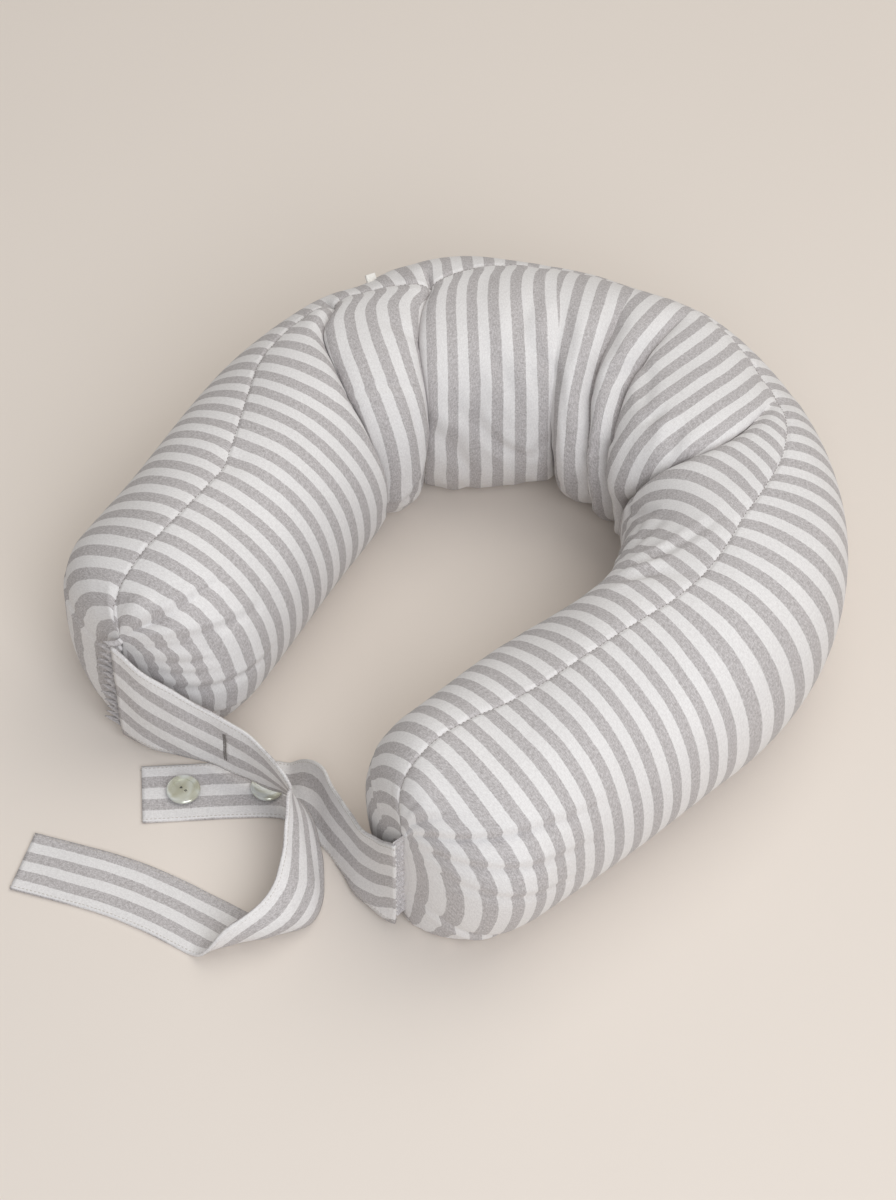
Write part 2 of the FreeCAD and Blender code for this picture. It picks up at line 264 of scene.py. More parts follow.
def new_material(name: str) -> Tuple[bpy.types.Material, bpy.types.NodeTree, bpy.types.Node]:
    """Make an empty material.

    Args:
        name: the material's name.

    Returns:
        The material, its tree and its Principled shader, linked to the output.
    """
    material = bpy.data.materials.new(name)
    material.use_nodes = True
    tree = material.node_tree
    tree.nodes.clear()
    shader = add(tree, "ShaderNodeBsdfPrincipled")
    add(tree, "ShaderNodeOutputMaterial", {"Surface": shader.outputs["BSDF"]})
    return material, tree, shader


def math_node(tree: bpy.types.NodeTree, operation: str, first, second=None) -> bpy.types.NodeSocket:
    """Add a Math node on sockets or plain numbers and return its output."""
    links, values = {}, {}
    for slot, item in enumerate((first, second)):
        if isinstance(item, bpy.types.NodeSocket):
            links[slot] = item
        elif item is not None:
            values[slot] = item
    return add(tree, "ShaderNodeMath", links, values, operation=operation).outputs[0]


@dataclass(frozen=True)
class StripedLinen:
    """Plain-weave linen with woven stripes, washed soft.

    The stripes are dyed warp on an undyed weft, so the grey is heathered and the edges are
    uneven by a thread. Slubs run across the stripes. Threads are drawn 0.85 mm
    apart, coarser than the real 0.5 mm, so that they show.
    """

    name: str = "striped_linen"
    grey: str = "A6A1A0"
    grey_light: str = "CDC9C9"
    white: str = "E9E7E6"
    white_shade: str = "DAD7D6"
    repeat: float = 18.0          # mm, one grey and one white stripe
    thread: float = 0.85          # mm between threads as drawn
    edge: float = 0.22            # mm that a stripe's edge wanders

    def build(self) -> bpy.types.Material:
        """Make the material."""
        material, tree, shader = new_material(self.name)
        cloth = add(tree, "ShaderNodeUVMap", uv_map="cloth").outputs["UV"]
        place = add(tree, "ShaderNodeTexCoord").outputs["Object"]
        wander = add(tree, "ShaderNodeTexNoise", {"Vector": place}, {"Scale": 900.0, "Detail": 2.0})
        slow = add(tree, "ShaderNodeTexNoise", {"Vector": place}, {"Scale": 26.0, "Detail": 2.0})
        split = add(tree, "ShaderNodeSeparateXYZ", {"Vector": cloth})
        jitter = math_node(tree, "MULTIPLY", math_node(tree, "SUBTRACT", wander.outputs[0], 0.5),
                           4 * self.edge * MM)
        drift = math_node(tree, "MULTIPLY", math_node(tree, "SUBTRACT", slow.outputs[0], 0.5), 2.4 * MM)
        across = math_node(tree, "ADD", split.outputs["X"], math_node(tree, "ADD", jitter, drift))
        turn = math_node(tree, "FRACT", math_node(
            tree, "ADD", math_node(tree, "DIVIDE", across, self.repeat * MM), 100.75))
        off = math_node(tree, "ABSOLUTE", math_node(tree, "SUBTRACT", turn, 0.5))
        dyed = add(tree, "ShaderNodeMapRange", {"Value": off},
                   {"From Min": 0.238, "From Max": 0.262, "To Min": 1.0, "To Max": 0.0}).outputs[0]
        warp = self._threads(tree, cloth, (1.0 / (self.thread * MM), 0.30 / (self.thread * MM)))
        weft = self._threads(tree, cloth, (0.25 / (self.thread * MM), 1.0 / (self.thread * MM)))
        fleck = add(tree, "ShaderNodeTexNoise", {"Vector": place}, {"Scale": 1400.0, "Detail": 2.0}).outputs[0]
        heather = math_node(tree, "ADD", math_node(tree, "MULTIPLY", warp, 0.45),
                            math_node(tree, "ADD", math_node(tree, "MULTIPLY", weft, 0.25),
                                      math_node(tree, "MULTIPLY", fleck, 0.45)))
        tone = add(tree, "ShaderNodeMapRange", {"Value": heather},
                   {"From Min": 0.46, "From Max": 0.70, "To Min": 0.0, "To Max": 1.0}).outputs[0]
        slub = self._slubs(tree, cloth)
        tone = math_node(tree, "MAXIMUM", tone, slub)
        greys = self._mix(tree, tone, linear(self.grey), linear(self.grey_light))
        whites = self._mix(tree, tone, linear(self.white_shade), linear(self.white))
        colour = add(tree, "ShaderNodeMix", data_type="RGBA")
        for socket, item in ((0, dyed), (6, whites), (7, greys)):
            tree.links.new(item, colour.inputs[socket])
        cloudy = add(tree, "ShaderNodeTexNoise", {"Vector": place}, {"Scale": 14.0, "Detail": 3.0}).outputs[0]
        shade = add(tree, "ShaderNodeMapRange", {"Value": cloudy},
                    {"From Min": 0.3, "From Max": 0.7, "To Min": 0.965, "To Max": 1.025}).outputs[0]
        final = add(tree, "ShaderNodeVectorMath", {0: colour.outputs[2]}, operation="SCALE")
        tree.links.new(shade, final.inputs["Scale"])
        tree.links.new(final.outputs[0], shader.inputs["Base Color"])
        height = math_node(tree, "ADD", self._weave(tree, cloth),
                           math_node(tree, "ADD", math_node(tree, "MULTIPLY", heather, 0.9),
                                     math_node(tree, "MULTIPLY", slub, 0.8)))
        bump = add(tree, "ShaderNodeBump", {"Height": height}, {"Strength": 0.42, "Distance": 0.25 * MM})
        tree.links.new(bump.outputs[0], shader.inputs["Normal"])
        rough = add(tree, "ShaderNodeMapRange", {"Value": tone}, {"To Min": 0.92, "To Max": 0.80}).outputs[0]
        tree.links.new(rough, shader.inputs["Roughness"])
        shader.inputs["Specular IOR Level"].default_value = 0.25
        shader.inputs["Sheen Weight"].default_value = 0.12
        shader.inputs["Sheen Roughness"].default_value = 0.45
        return material

    def _mix(self, tree: bpy.types.NodeTree, factor: bpy.types.NodeSocket, low: Tuple, high: Tuple
             ) -> bpy.types.NodeSocket:
        """Blend two colours by a factor."""
        node = add(tree, "ShaderNodeMix", {0: factor}, {6: low, 7: high}, data_type="RGBA")
        return node.outputs[2]

    def _threads(self, tree: bpy.types.NodeTree, cloth: bpy.types.NodeSocket, scale: Tuple[float, float]
                 ) -> bpy.types.NodeSocket:
        """Noise drawn out along one family of threads."""
        spread = add(tree, "ShaderNodeMapping", {"Vector": cloth}, {"Scale": (*scale, 1.0)})
        return add(tree, "ShaderNodeTexNoise", {"Vector": spread.outputs[0]},
                   {"Scale": 1.0, "Detail": 1.0}).outputs[0]

    def _weave(self, tree: bpy.types.NodeTree, cloth: bpy.types.NodeSocket) -> bpy.types.NodeSocket:
        """Height of crossing threads, over and under."""
        waves = []
        for axis in ("X", "Y"):
            part = add(tree, "ShaderNodeSeparateXYZ", {"Vector": cloth}).outputs[axis]
            waves.append(math_node(tree, "SINE", math_node(tree, "MULTIPLY", part,
                                                           2 * math.pi / (self.thread * MM))))
        return math_node(tree, "MULTIPLY", math_node(tree, "MULTIPLY", waves[0], waves[1]), 0.35)

    def _slubs(self, tree: bpy.types.NodeTree, cloth: bpy.types.NodeSocket) -> bpy.types.NodeSocket:
        """Short thick stretches of weft, across the stripes."""
        spread = add(tree, "ShaderNodeMapping", {"Vector": cloth}, {"Scale": (95.0, 1150.0, 1.0)})
        noise = add(tree, "ShaderNodeTexNoise", {"Vector": spread.outputs[0]}, {"Scale": 1.0, "Detail": 0.0})
        return add(tree, "ShaderNodeMapRange", {"Value": noise.outputs[0]},
                   {"From Min": 0.735, "From Max": 0.79, "To Min": 0.0, "To Max": 0.9}).outputs[0]


@dataclass(frozen=True)
class PlainCloth:
    """Undyed woven cotton or spun thread: matt, with a fine weave and a little fuzz."""

    name: str
    colour: str
    shade: str
    thread: float = 0.8           # mm between threads

    def build(self) -> bpy.types.Material:
        """Make the material."""
        material, tree, shader = new_material(self.name)
        place = add(tree, "ShaderNodeTexCoord").outputs["Object"]
        noise = add(tree, "ShaderNodeTexNoise", {"Vector": place}, {"Scale": 1.0 / (self.thread * MM),
                                                                  "Detail": 3.0}).outputs[0]
        weave = add(tree, "ShaderNodeTexWave", {"Vector": place},
                    {"Scale": 0.16 / (self.thread * MM), "Distortion": 1.0},
                    bands_direction="DIAGONAL").outputs[1]
        colour = add(tree, "ShaderNodeMix", {0: noise}, {6: linear(self.shade), 7: linear(self.colour)},
                     data_type="RGBA")
        tree.links.new(colour.outputs[2], shader.inputs["Base Color"])
        height = math_node(tree, "ADD", noise, math_node(tree, "MULTIPLY", weave, 0.6))
        bump = add(tree, "ShaderNodeBump", {"Height": height}, {"Strength": 0.5, "Distance": 0.2 * MM})
        tree.links.new(bump.outputs[0], shader.inputs["Normal"])
        shader.inputs["Roughness"].default_value = 0.9
        shader.inputs["Sheen Weight"].default_value = 0.15
        return material


@dataclass(frozen=True)
class MotherOfPearl:
    """Polished shell: thin layers give cloudy bands under a gloss; its khaki to blue-white colours are partly
    the shell's own silver-green tint and partly a painted reflection.
    """

    name: str = "mother_of_pearl"

    def build(self) -> bpy.types.Material:
        """Make the material."""
        material, tree, shader = new_material(self.name)
        place = add(tree, "ShaderNodeTexCoord").outputs["Object"]
        cloud = add(tree, "ShaderNodeTexNoise", {"Vector": place},
                    {"Scale": 60.0, "Detail": 2.0, "Distortion": 0.8}).outputs[0]
        bands = add(tree, "ShaderNodeTexWave", {"Vector": place},
                    {"Scale": 42.0, "Distortion": 6.0, "Detail": 2.0}).outputs[1]
        ramp = add(tree, "ShaderNodeValToRGB", {"Fac": cloud})
        # khaki to blue-white: the shell's own tint with the reflection of the room painted in, spread by the
        # cloudy noise
        stops = ((0.30, "B0AE96"), (0.46, "CCCDBB"), (0.60, "E3E7E3"), (0.75, "F0F3F3"))
        while len(ramp.color_ramp.elements) < len(stops):
            ramp.color_ramp.elements.new(0.5)
        for element, (at, code) in zip(ramp.color_ramp.elements, stops):
            element.position, element.color = at, linear(code)
        layered = add(tree, "ShaderNodeMix", {0: math_node(tree, "MULTIPLY", bands, 0.12),
                                              6: ramp.outputs[0]}, {7: linear("E2E6DE")}, data_type="RGBA")
        tree.links.new(layered.outputs[2], shader.inputs["Base Color"])
        rough = add(tree, "ShaderNodeMapRange", {"Value": cloud}, {"To Min": 0.20, "To Max": 0.30}).outputs[0]
        tree.links.new(rough, shader.inputs["Roughness"])
        bump = add(tree, "ShaderNodeBump", {"Height": bands}, {"Strength": 0.08, "Distance": 0.1 * MM})
        tree.links.new(bump.outputs[0], shader.inputs["Normal"])
        for name, value in (("Metallic", 0.4), ("Coat Weight", 0.5), ("Coat Roughness", 0.12), ("IOR", 1.53)):
            shader.inputs[name].default_value = value
        return material


@dataclass(frozen=True)
class Moulded:
    """Moulded nylon or painted die casting: smooth, with fine wear that breaks up the gloss."""

    name: str
    colour: str
    roughness: float
    metallic: float = 0.0

    def build(self) -> bpy.types.Material:
        """Make the material."""
        material, tree, shader = new_material(self.name)
        place = add(tree, "ShaderNodeTexCoord").outputs["Object"]
        noise = add(tree, "ShaderNodeTexNoise", {"Vector": place}, {"Scale": 700.0, "Detail": 3.0}).outputs[0]
        base = linear(self.colour)
        darker = tuple(c * 0.86 for c in base[:3]) + (1.0,)
        colour = add(tree, "ShaderNodeMix", {0: noise}, {6: darker, 7: base}, data_type="RGBA")
        tree.links.new(colour.outputs[2], shader.inputs["Base Color"])
        rough = add(tree, "ShaderNodeMapRange", {"Value": noise},
                    {"To Min": self.roughness - 0.08, "To Max": self.roughness + 0.1}).outputs[0]
        tree.links.new(rough, shader.inputs["Roughness"])
        bump = add(tree, "ShaderNodeBump", {"Height": noise}, {"Strength": 0.1, "Distance": 0.05 * MM})
        tree.links.new(bump.outputs[0], shader.inputs["Normal"])
        shader.inputs["Metallic"].default_value = self.metallic
        return material


@dataclass(frozen=True)
class StudioPaper:
    """Seamless paper under the pillow: matt, almost even, with the faintest tooth."""

    name: str = "seamless_paper"
    colour: str = "E3DAD1"

    def build(self) -> bpy.types.Material:
        """Make the material."""
        material, tree, shader = new_material(self.name)
        place = add(tree, "ShaderNodeTexCoord").outputs["Object"]
        noise = add(tree, "ShaderNodeTexNoise", {"Vector": place}, {"Scale": 6.0, "Detail": 4.0}).outputs[0]
        base = linear(self.colour)
        dull = tuple(c * 0.985 for c in base[:3]) + (1.0,)
        colour = add(tree, "ShaderNodeMix", {0: noise}, {6: dull, 7: base}, data_type="RGBA")
        tree.links.new(colour.outputs[2], shader.inputs["Base Color"])
        shader.inputs["Roughness"].default_value = 0.95
        shader.inputs["Specular IOR Level"].default_value = 0.1
        return material


class Finish(Enum):
    """The finishes in use."""

    LINEN = StripedLinen()
    CASING = PlainCloth("undyed_cotton_casing", "EEE9DF", "DDD6C9")
    BEADS = PlainCloth("foam_beads", "F2F1EE", "DCDAD5", thread=3.0)
    THREAD = PlainCloth("spun_cotton_thread", "D8D3CC", "A9A39C", thread=0.4)
    # grey thread: partly the thread's own grey, partly painted shade for the dark line of the top seam and the
    # dark slit of the buttonhole
    THREAD_DARKENED_AS_SHADE = PlainCloth("grey_thread_with_painted_shade", "8E8884", "6E6965", thread=0.4)
    TAPE = PlainCloth("white_cotton_tape", "F3F1EC", "DFDBD3", thread=0.7)
    PEARL = MotherOfPearl()
    COIL = Moulded("moulded_nylon_coil", "D6D3CE", 0.45)
    CASTING = Moulded("painted_die_casting", "BEBDBA", 0.35, 0.6)
    PAPER = StudioPaper()


class Wardrobe:
    """Makes each finish once and hands it out."""

    def __init__(self) -> None:
        """Start empty."""
        self._made: Dict[Finish, bpy.types.Material] = {}

    def get(self, finish: Finish) -> bpy.types.Material:
        """The finish's material, made on first use."""
        if finish not in self._made:
            self._made[finish] = finish.value.build()
        return self._made[finish]


# ---------------------------------------------------------------- the stuffed tube
@dataclass(frozen=True)
class CentreLine:
    """Line down the middle of the tube: a round back and two straight arms that toe in."""

    arc_radius: float = 178.0
    arc_centre_y: float = 83.75
    toe_in: float = 10.0
    arm_length: float = 181.0
    taper_length: float = 61.0

    @property
    def bend(self) -> float:
        """Half of the round back's length."""
        return self.arc_radius * math.radians(90 + self.toe_in)

    @property
    def half(self) -> float:
        """Length from the middle of the back to an arm's end."""
        return self.bend + self.arm_length + self.taper_length

    def frame(self, s: Array) -> Tuple[Array, Array, Array]:
        """Place, direction and outward side at a distance along the line.

        Args:
            s: distance from the middle of the back, positive towards the right arm.

        Returns:
            Plan points, directions along the line and directions out of the U.
        """
        on_arc = np.clip(s, -self.bend, self.bend)
        turn = on_arc / self.arc_radius
        way = np.stack([np.cos(turn), -np.sin(turn)], -1)
        out = np.stack([np.sin(turn), np.cos(turn)], -1)
        middle = np.array([0.0, self.arc_centre_y]) + out * self.arc_radius + way * (s - on_arc)[..., None]
        return middle, way, out


@dataclass(frozen=True)
class Fold:
    """Deep crease in the inner panel, where the bent tube has cloth to spare."""

    line: Tuple[Tuple[float, float], ...]      # (section angle, distance along the tube)
    depth: Tuple[Tuple[float, float], ...]     # (section angle, depth)
    width: float = 9.0
    lean: float = 0.0                          # how far the right lip leans over the crease

    def at_seam(self) -> float:
        """Where the crease's line starts, at the top seam."""
        return self.line[0][1]


@dataclass(frozen=True)
class Pleat:
    """Pinched line that runs from a gathered end into the arm."""

    angle: float
    length: float
    depth: float
    width: float = 4.0
    drift: float = 0.0                         # degrees that it turns along its length


@dataclass
class TubeCover:
    """Linen cover of the stuffed tube: an inner and an outer panel sewn along two seams."""

    line: CentreLine = field(default_factory=CentreLine)
    radius: float = 83.6
    height: float = 76.0
    end_drop: float = 12.0
    end_half_width: float = 5.0
    end_half_height: float = 50.0
    inner_cells: int = 148
    outer_cells: int = 100
    seam_depth: float = 1.5
    end_anchor: float = 60.0                   # cloth from an arm's end to where its stripes are counted from
    crown: float = 0.03                        # how much fuller the section's corners are than an ellipse
    floor_softness: float = 5.0                # how gently the underside meets the floor
    lobe_swell: float = 5.0                    # how far the cloth between two folds stands out
    ripples: int = 9
    slack_creases: int = 112
    back_creases: int = 82                     # how many of the slack creases are in the hollow of the back
    gather_spacing: int = 18                   # degrees between the small pleats of a gathered end
    # the zip's flat bed: first and last place along the tube, and its angle round the section
    zip_span: Tuple[float, float] = (-262.0, -24.0)
    zip_angle: float = -30.0
    # where the top seam lies round the section: (distance along the tube, degrees above the outer side)
    top_seam: Tuple[Tuple[float, float], ...] = (
        (-553, 76), (-521, 82), (-470, 88), (-413, 90), (-390, 86), (-337, 73), (-290, 62), (-240, 58),
        (-200, 64), (-166, 70), (-140, 62), (-100, 52), (0, 48), (60, 52), (100, 56), (138, 66), (176, 80),
        (207, 88), (260, 92), (306, 94), (400, 97), (446, 101), (475, 105), (553, 108))
    low_seam: Tuple[Tuple[float, float], ...] = (
        (-553, -84), (-420, -70), (-330, -45), (-260, -30), (0, -30), (240, -30), (330, -45), (420, -70),
        (553, -84))
    folds: Tuple[Fold, ...] = (
        Fold(((60, -232), (78, -256), (106, -274), (127, -287), (150, -292), (190, -292), (330, -250)),
             ((56, 6), (72, 12), (100, 13), (130, 14), (150, 18), (185, 18), (230, 6), (300, 0)), 6.5, 5.0),
        Fold(((70, -167), (90, -178), (114, -192), (144, -203), (190, -212), (330, -170)),
             ((68, 7), (82, 16), (100, 18), (150, 16), (190, 19), (240, 8), (300, 0)), 6.5, 6.0),
        Fold(((60, -82), (110, -66), (150, -56), (190, -50), (330, -80)),
             ((60, 0), (105, 1), (130, 6), (165, 13), (195, 17), (240, 6), (300, 0)), 6.0, -3.0),
        Fold(((50, -32), (92, -26), (116, -20), (136, -12), (157, 6), (190, 16), (330, -20)),
             ((50, 0), (85, 3), (105, 10), (135, 14), (165, 8), (195, 6), (240, 2), (300, 0)), 6.0, 3.0),
        Fold(((50, 6), (84, 10), (107, 15), (122, 20), (150, 40), (190, 52), (330, 20)),
             ((50, 0), (75, 6), (110, 15), (150, 17), (190, 19), (240, 6), (300, 0)), 6.5, 4.0),
        Fold(((55, 92), (63, 97), (85, 113), (115, 124), (150, 112), (190, 84), (330, 90)),
             ((55, 2), (70, 9), (100, 16), (150, 20), (190, 18), (240, 6), (300, 0)), 7.5, -6.0))
    right_pleats: Tuple[Pleat, ...] = (
        Pleat(66, 150, -6.2, 3.6, -40), Pleat(50, 140, -4.6, 3.4, -42), Pleat(36, 120, -3.4, 3.2, -48),
        Pleat(-10, 90, 4.0, 3.4, -50), Pleat(84, 34, -6.0, 4.2, -22), Pleat(150, 70, 2.6, 3.2, 14))
    left_pleats: Tuple[Pleat, ...] = (
        Pleat(110, 90, 5.2, 3.6, 18), Pleat(121, 95, 3.6, 3.4, 34), Pleat(172, 95, 3.6, 3.4, 10),
        Pleat(196, 75, 3.4, 3.4, 14), Pleat(86, 30, 4.0, 3.6, -10), Pleat(132, 34, 5.0, 3.4, 12),
        Pleat(146, 38, 4.6, 3.4, 14), Pleat(158, 30, 4.0, 3.2, 8), Pleat(30, 70, 2.6, 3.2, -14))
    # soft dents, and humps where the depth is negative: place, length, degrees across, depth
    dents: Tuple[Tuple[float, float, float, float, float], ...] = (
        (-398, 92, 16, 9, 3.0), (-540, 118, 6, 6, 7.0), (-527, 150, 6, 7, 4.0), (-541, 100, 8, 9, -6.5),
        (535, 92, 9, 14, -3.5), (-146, 44, 34, 20, -4.5), (-205, 44, 15, 20, 3.5), (-40, 46, 18, 16, 2.0),
        (14, 50, 24, 18, -2.5), (70, 52, 13, 16, 2.2), (120, 55, 26, 18, -2.0))
    taper: Tuple[Tuple[float, float, float], ...] = (
        (0.0, 1.0, 1.0), (0.3, 0.955, 0.985), (0.6, 0.82, 0.945), (0.82, 0.60, 0.885), (0.93, 0.38, 0.80),
        (0.985, 0.17, 0.70))

    def columns(self) -> Tuple[Array, List[int]]:
        """Seam positions of the mesh's columns, and the column of each fold."""
        marks = [-self.line.half] + [f.at_seam() for f in self.folds] + [self.line.half]
        stops: List[float] = [marks[0]]
        where: List[int] = []
        for n, (a, b) in enumerate(zip(marks, marks[1:])):
            ends = n in (0, len(marks) - 2)
            count = int(round((b - a) / 3.1)) if ends else int(round((b - a) / 2.1)) + 8
            t = np.linspace(0, 1, count + 1)[1:]
            bunch = 0.10 if ends else 0.13
            t = t - bunch * np.sin(2 * np.pi * t) / (2 * np.pi) * (1.6 if ends else 4.0)
            stops.extend((a + (b - a) * t).tolist())
            where.append(len(stops) - 1)
        return np.array(stops), where[:-1]

    def rows(self) -> Tuple[Array, Array]:
        """Shares across the inner and the outer panel, closer together at the seams."""
        inner = np.linspace(0, 1, self.inner_cells + 1)
        outer = np.linspace(0, 1, self.outer_cells + 1)
        return (inner - 0.085 * np.sin(2 * np.pi * inner) / (2 * np.pi) * 8,
                outer - 0.06 * np.sin(2 * np.pi * outer) / (2 * np.pi) * 8)

    def section(self, s: Array) -> Tuple[Array, Array, Array]:
        """Half width, half height and centre height of the tube's section."""
        share = np.clip((np.abs(s) - self.line.bend - self.line.arm_length) / self.line.taper_length, 0, 1)
        wide = through(share, [(t, w * self.radius) for t, w, _ in self.taper] + [(1.0, self.end_half_width)])
        high = through(share, [(t, h * self.radius) for t, _, h in self.taper] + [(1.0, self.end_half_height)])
        return wide, high, self.height - self.end_drop * share ** 1.5

    def fold_place(self, fold: Fold, theta: Array) -> Array:
        """Where a fold's line crosses each section angle."""
        return through(theta, fold.line)

    def folded(self, s: Array, theta: Array) -> Tuple[Array, Array]:
        """Depth below the plain tube, and the shift along it, from the folds and the lobes between."""
        pull = 1 + self.radius * np.cos(np.radians(theta)) / self.line.arc_radius
        sink, shift = np.zeros_like(s), np.zeros_like(s)
        places = [self.fold_place(fold, theta) for fold in self.folds]
        for fold, place in zip(self.folds, places):
            depth = through(theta, fold.depth)
            away = (s - place) * np.maximum(pull, 0.45)
            sink += depth * np.exp(-(np.abs(away) / fold.width) ** 1.35)
            lip = np.where(away * fold.lean > 0, np.abs(away), 0.0) / fold.width
            shift -= fold.lean * depth / 12.0 * lip * np.exp(1 - lip)
        swell = ease((theta - 60) / 60) * ease((300 - theta) / 60)
        for a, b in zip(places, places[1:]):
            share = np.clip((s - a) / np.maximum(b - a, 1.0), 0, 1)
            sink -= self.lobe_swell * swell * np.sin(np.pi * share) ** 2
        return sink, shift

    def point(self, s: Array, theta: Array, sink: Array, shift: Array) -> Array:
        """Point of the surface.

        Args:
            s: distance along the tube.
            theta: degrees round the section, 0 outside, 90 on top, 180 in the hollow.
            sink: depth below the plain surface.
            shift: move along the tube.

        Returns:
            Points in millimetres, kept above the floor.
        """
        middle, way, out = self.line.frame(s)
        wide, high, centre = self.section(s)
        angle = np.radians(theta)
        cos, sin = np.cos(angle), np.sin(angle)
        length = np.sqrt((high * cos) ** 2 + (wide * sin) ** 2) + 1e-6
        out_way, up_way = high * cos / length, wide * sin / length
        full = 1 + self.crown * np.sin(2 * angle) ** 2
        side = wide * cos * full - sink * out_way
        rise = centre + high * sin * full - sink * up_way
        rise = 0.5 * (rise + np.sqrt(rise ** 2 + self.floor_softness ** 2)) - 0.2
        plan = middle + out * side[..., None] + way * shift[..., None]
        return np.concatenate([plan, np.maximum(rise, 0.6)[..., None]], -1)

    def details(self, s: Array, theta: Array, seam: Array, low: Array) -> Array:
        """Depth of the seams, puckers, end pleats, dents and slack of the cloth."""
        rng = np.random.default_rng(SEED)
        sink = np.zeros_like(s)
        for gap, strength in ((theta - seam, 1.0), (theta - seam - 360, 1.0), (theta - low, 0.8),
                              (theta - low - 360, 0.8)):
            away = np.abs(gap) * self.radius * math.pi / 180
            pucker = np.sin(s / 1.9 + 1.3 * np.sin(s / 7.0)) * 0.5 + np.sin(s / 3.7 + 2.0) * 0.6
            beside = np.exp(-(away / 7.0) ** 1.3) * (1 - np.exp(-(away / 1.2) ** 2))
            sink += strength * (self.seam_depth * np.exp(-(away / 1.7) ** 2) + 0.55 * pucker * beside
                                + 0.9 * np.exp(-(away / 9.0) ** 2))
        for _ in range(self.ripples):
            along, round_, size = rng.uniform(0.008, 0.045), rng.integers(1, 6), rng.uniform(0.25, 0.6)
            sink += size * np.sin(s * along + np.radians(theta) * round_ + rng.uniform(0, 6.3))
        sink += self._creases(s, theta, rng)
        for side in (-1, 1):
            sink += self._gathers(side, s, theta, rng)
        for mid_s, mid_t, long, wide, depth in self.dents:
            sink += depth * np.exp(-((s - mid_s) / long) ** 2 - ((theta - mid_t) / wide) ** 2)
        return sink

    def _creases(self, s: Array, theta: Array, rng: np.random.Generator) -> Array:
        """Short slack creases, most of them in the hollow of the back."""
        sink = np.zeros_like(s)
        for n in range(self.slack_creases):
            back = n < self.back_creases
            mid_s = rng.uniform(-300, 300) if back else rng.uniform(-480, 480)
            mid_t = rng.uniform(95, 230) if back else rng.uniform(20, 200)
            lean, length = rng.normal(0, 0.5), rng.uniform(14, 34)
            depth = rng.uniform(0.6, 2.3) if back else rng.uniform(0.2, 0.7)
            width = rng.uniform(2.6, 5.0)
            across = (s - mid_s) * (0.6 if back else 1.0)
            along = (theta - mid_t) * self.radius * math.pi / 180
            turn = np.array([math.cos(lean), math.sin(lean)])
            d = across * turn[0] + along * turn[1]
            e = -across * turn[1] + along * turn[0]
            sink += depth * np.exp(-(np.abs(d) / width) ** 1.5 - (e / length) ** 2)
            sink -= 0.5 * depth * np.exp(-((np.abs(d) - 2.2 * width) / width) ** 2 - (e / length) ** 2)
        return sink

    def _gathers(self, side: int, s: Array, theta: Array, rng: np.random.Generator) -> Array:
        """Pleats that radiate from one gathered end."""
        reach = self.line.half - s * side
        named = self.right_pleats if side > 0 else self.left_pleats
        loose = [Pleat(float(a + rng.uniform(-6, 6)), float(rng.uniform(14, 40)), float(rng.uniform(0.4, 1.2)),
                       float(rng.uniform(2.2, 3.0)), float(rng.uniform(-8, 8)))
                 for a in range(-180, 180, self.gather_spacing)]
        wide, high, _ = self.section(s)
        girth = (wide + high) / 2 * math.pi / 180
        sink = np.zeros_like(s)
        for pleat in list(named) + loose:
            fade = ease(1.15 * (1 - reach / pleat.length))
            gap = (theta - pleat.angle - pleat.drift * np.sqrt(np.maximum(reach, 0) / pleat.length) + 180) % 360
            away = (gap - 180) * girth * (1 if pleat.depth > 0 else -1)
            steep = np.where(away < 0, 0.55, 1.2) * pleat.width
            sink += abs(pleat.depth) * fade * (np.exp(-(np.abs(away) / steep) ** 1.3)
                                               - 0.4 * np.exp(-((away + 2.0 * pleat.width) / pleat.width) ** 2))
        return sink * ease(reach / 5.0) * (reach < 190)

    def build(self, wardrobe: Wardrobe) -> Tuple[bpy.types.Object, Array, Array, Array]:
        """Make the cover.

        Args:
            wardrobe: where the finishes come from.

        Returns:
            The cover, its plain folded points, the centre line's points and the seam's points.
        """
        seam_s, creases = self.columns()
        inner, outer = self.rows()
        top, low = through(seam_s, self.top_seam), through(seam_s, self.low_seam)
        theta_in = top[:, None] + (360 + low - top)[:, None] * inner
        theta_out = low[:, None] + (top - low)[:, None] * outer
        s_in = self._inner_places(seam_s, creases, theta_in)
        s_out = np.repeat(seam_s[:, None], len(outer), 1)
        sink, shift = self.folded(s_in, theta_in)
        folded_in = self.point(s_in, theta_in, sink, shift)
        blend = self.folded(s_out, theta_out)
        keep = ease((theta_out - (top - 16)[:, None]) / 16)
        folded_out = self.point(s_out, theta_out, blend[0] * keep, blend[1] * keep)
        fine_in = self.details(s_in, theta_in, top[:, None], low[:, None])
        fine_out = self.details(s_out, theta_out, top[:, None], low[:, None]) * self._zip_bed(s_out, theta_out)
        final_in = self.point(s_in, theta_in, sink + fine_in, shift)
        flat = self._zip_flat(s_out, theta_out)
        final_out = self.point(s_out, theta_out, blend[0] * keep + fine_out + flat, blend[1] * keep)
        final_in[:, -1] = final_out[:, 0]
        final_in[:, 0] = final_out[:, -1]
        uv_in = self._inner_cloth(folded_in, creases)
        seam_u = uv_in[0][:, 0]
        uv_out = np.stack([np.repeat(self._phase(seam_s)[:, None] + seam_u[:, None], len(outer), 1),
                           self._across(folded_out)], -1)
        cover = self._mesh(final_in, final_out, uv_in, uv_out, creases)
        dress(cover, wardrobe.get(Finish.LINEN))
        body = np.concatenate([folded_in[:, :-1], folded_out[:, :-1]], 1)
        middle, _, _ = self.line.frame(seam_s)
        _, _, centre = self.section(seam_s)
        return cover, body, np.concatenate([middle, centre[:, None]], 1), final_out[:, -1]

    def _zip_flat(self, s: Array, theta: Array) -> Array:
        """Depth that brings the cover down to the zip's bed."""
        first, last = self.zip_span
        near = ease((s - first) / 12) * ease((last - s) / 12)
        return 2.6 * near * np.exp(-((theta - self.zip_angle) / 11) ** 4)

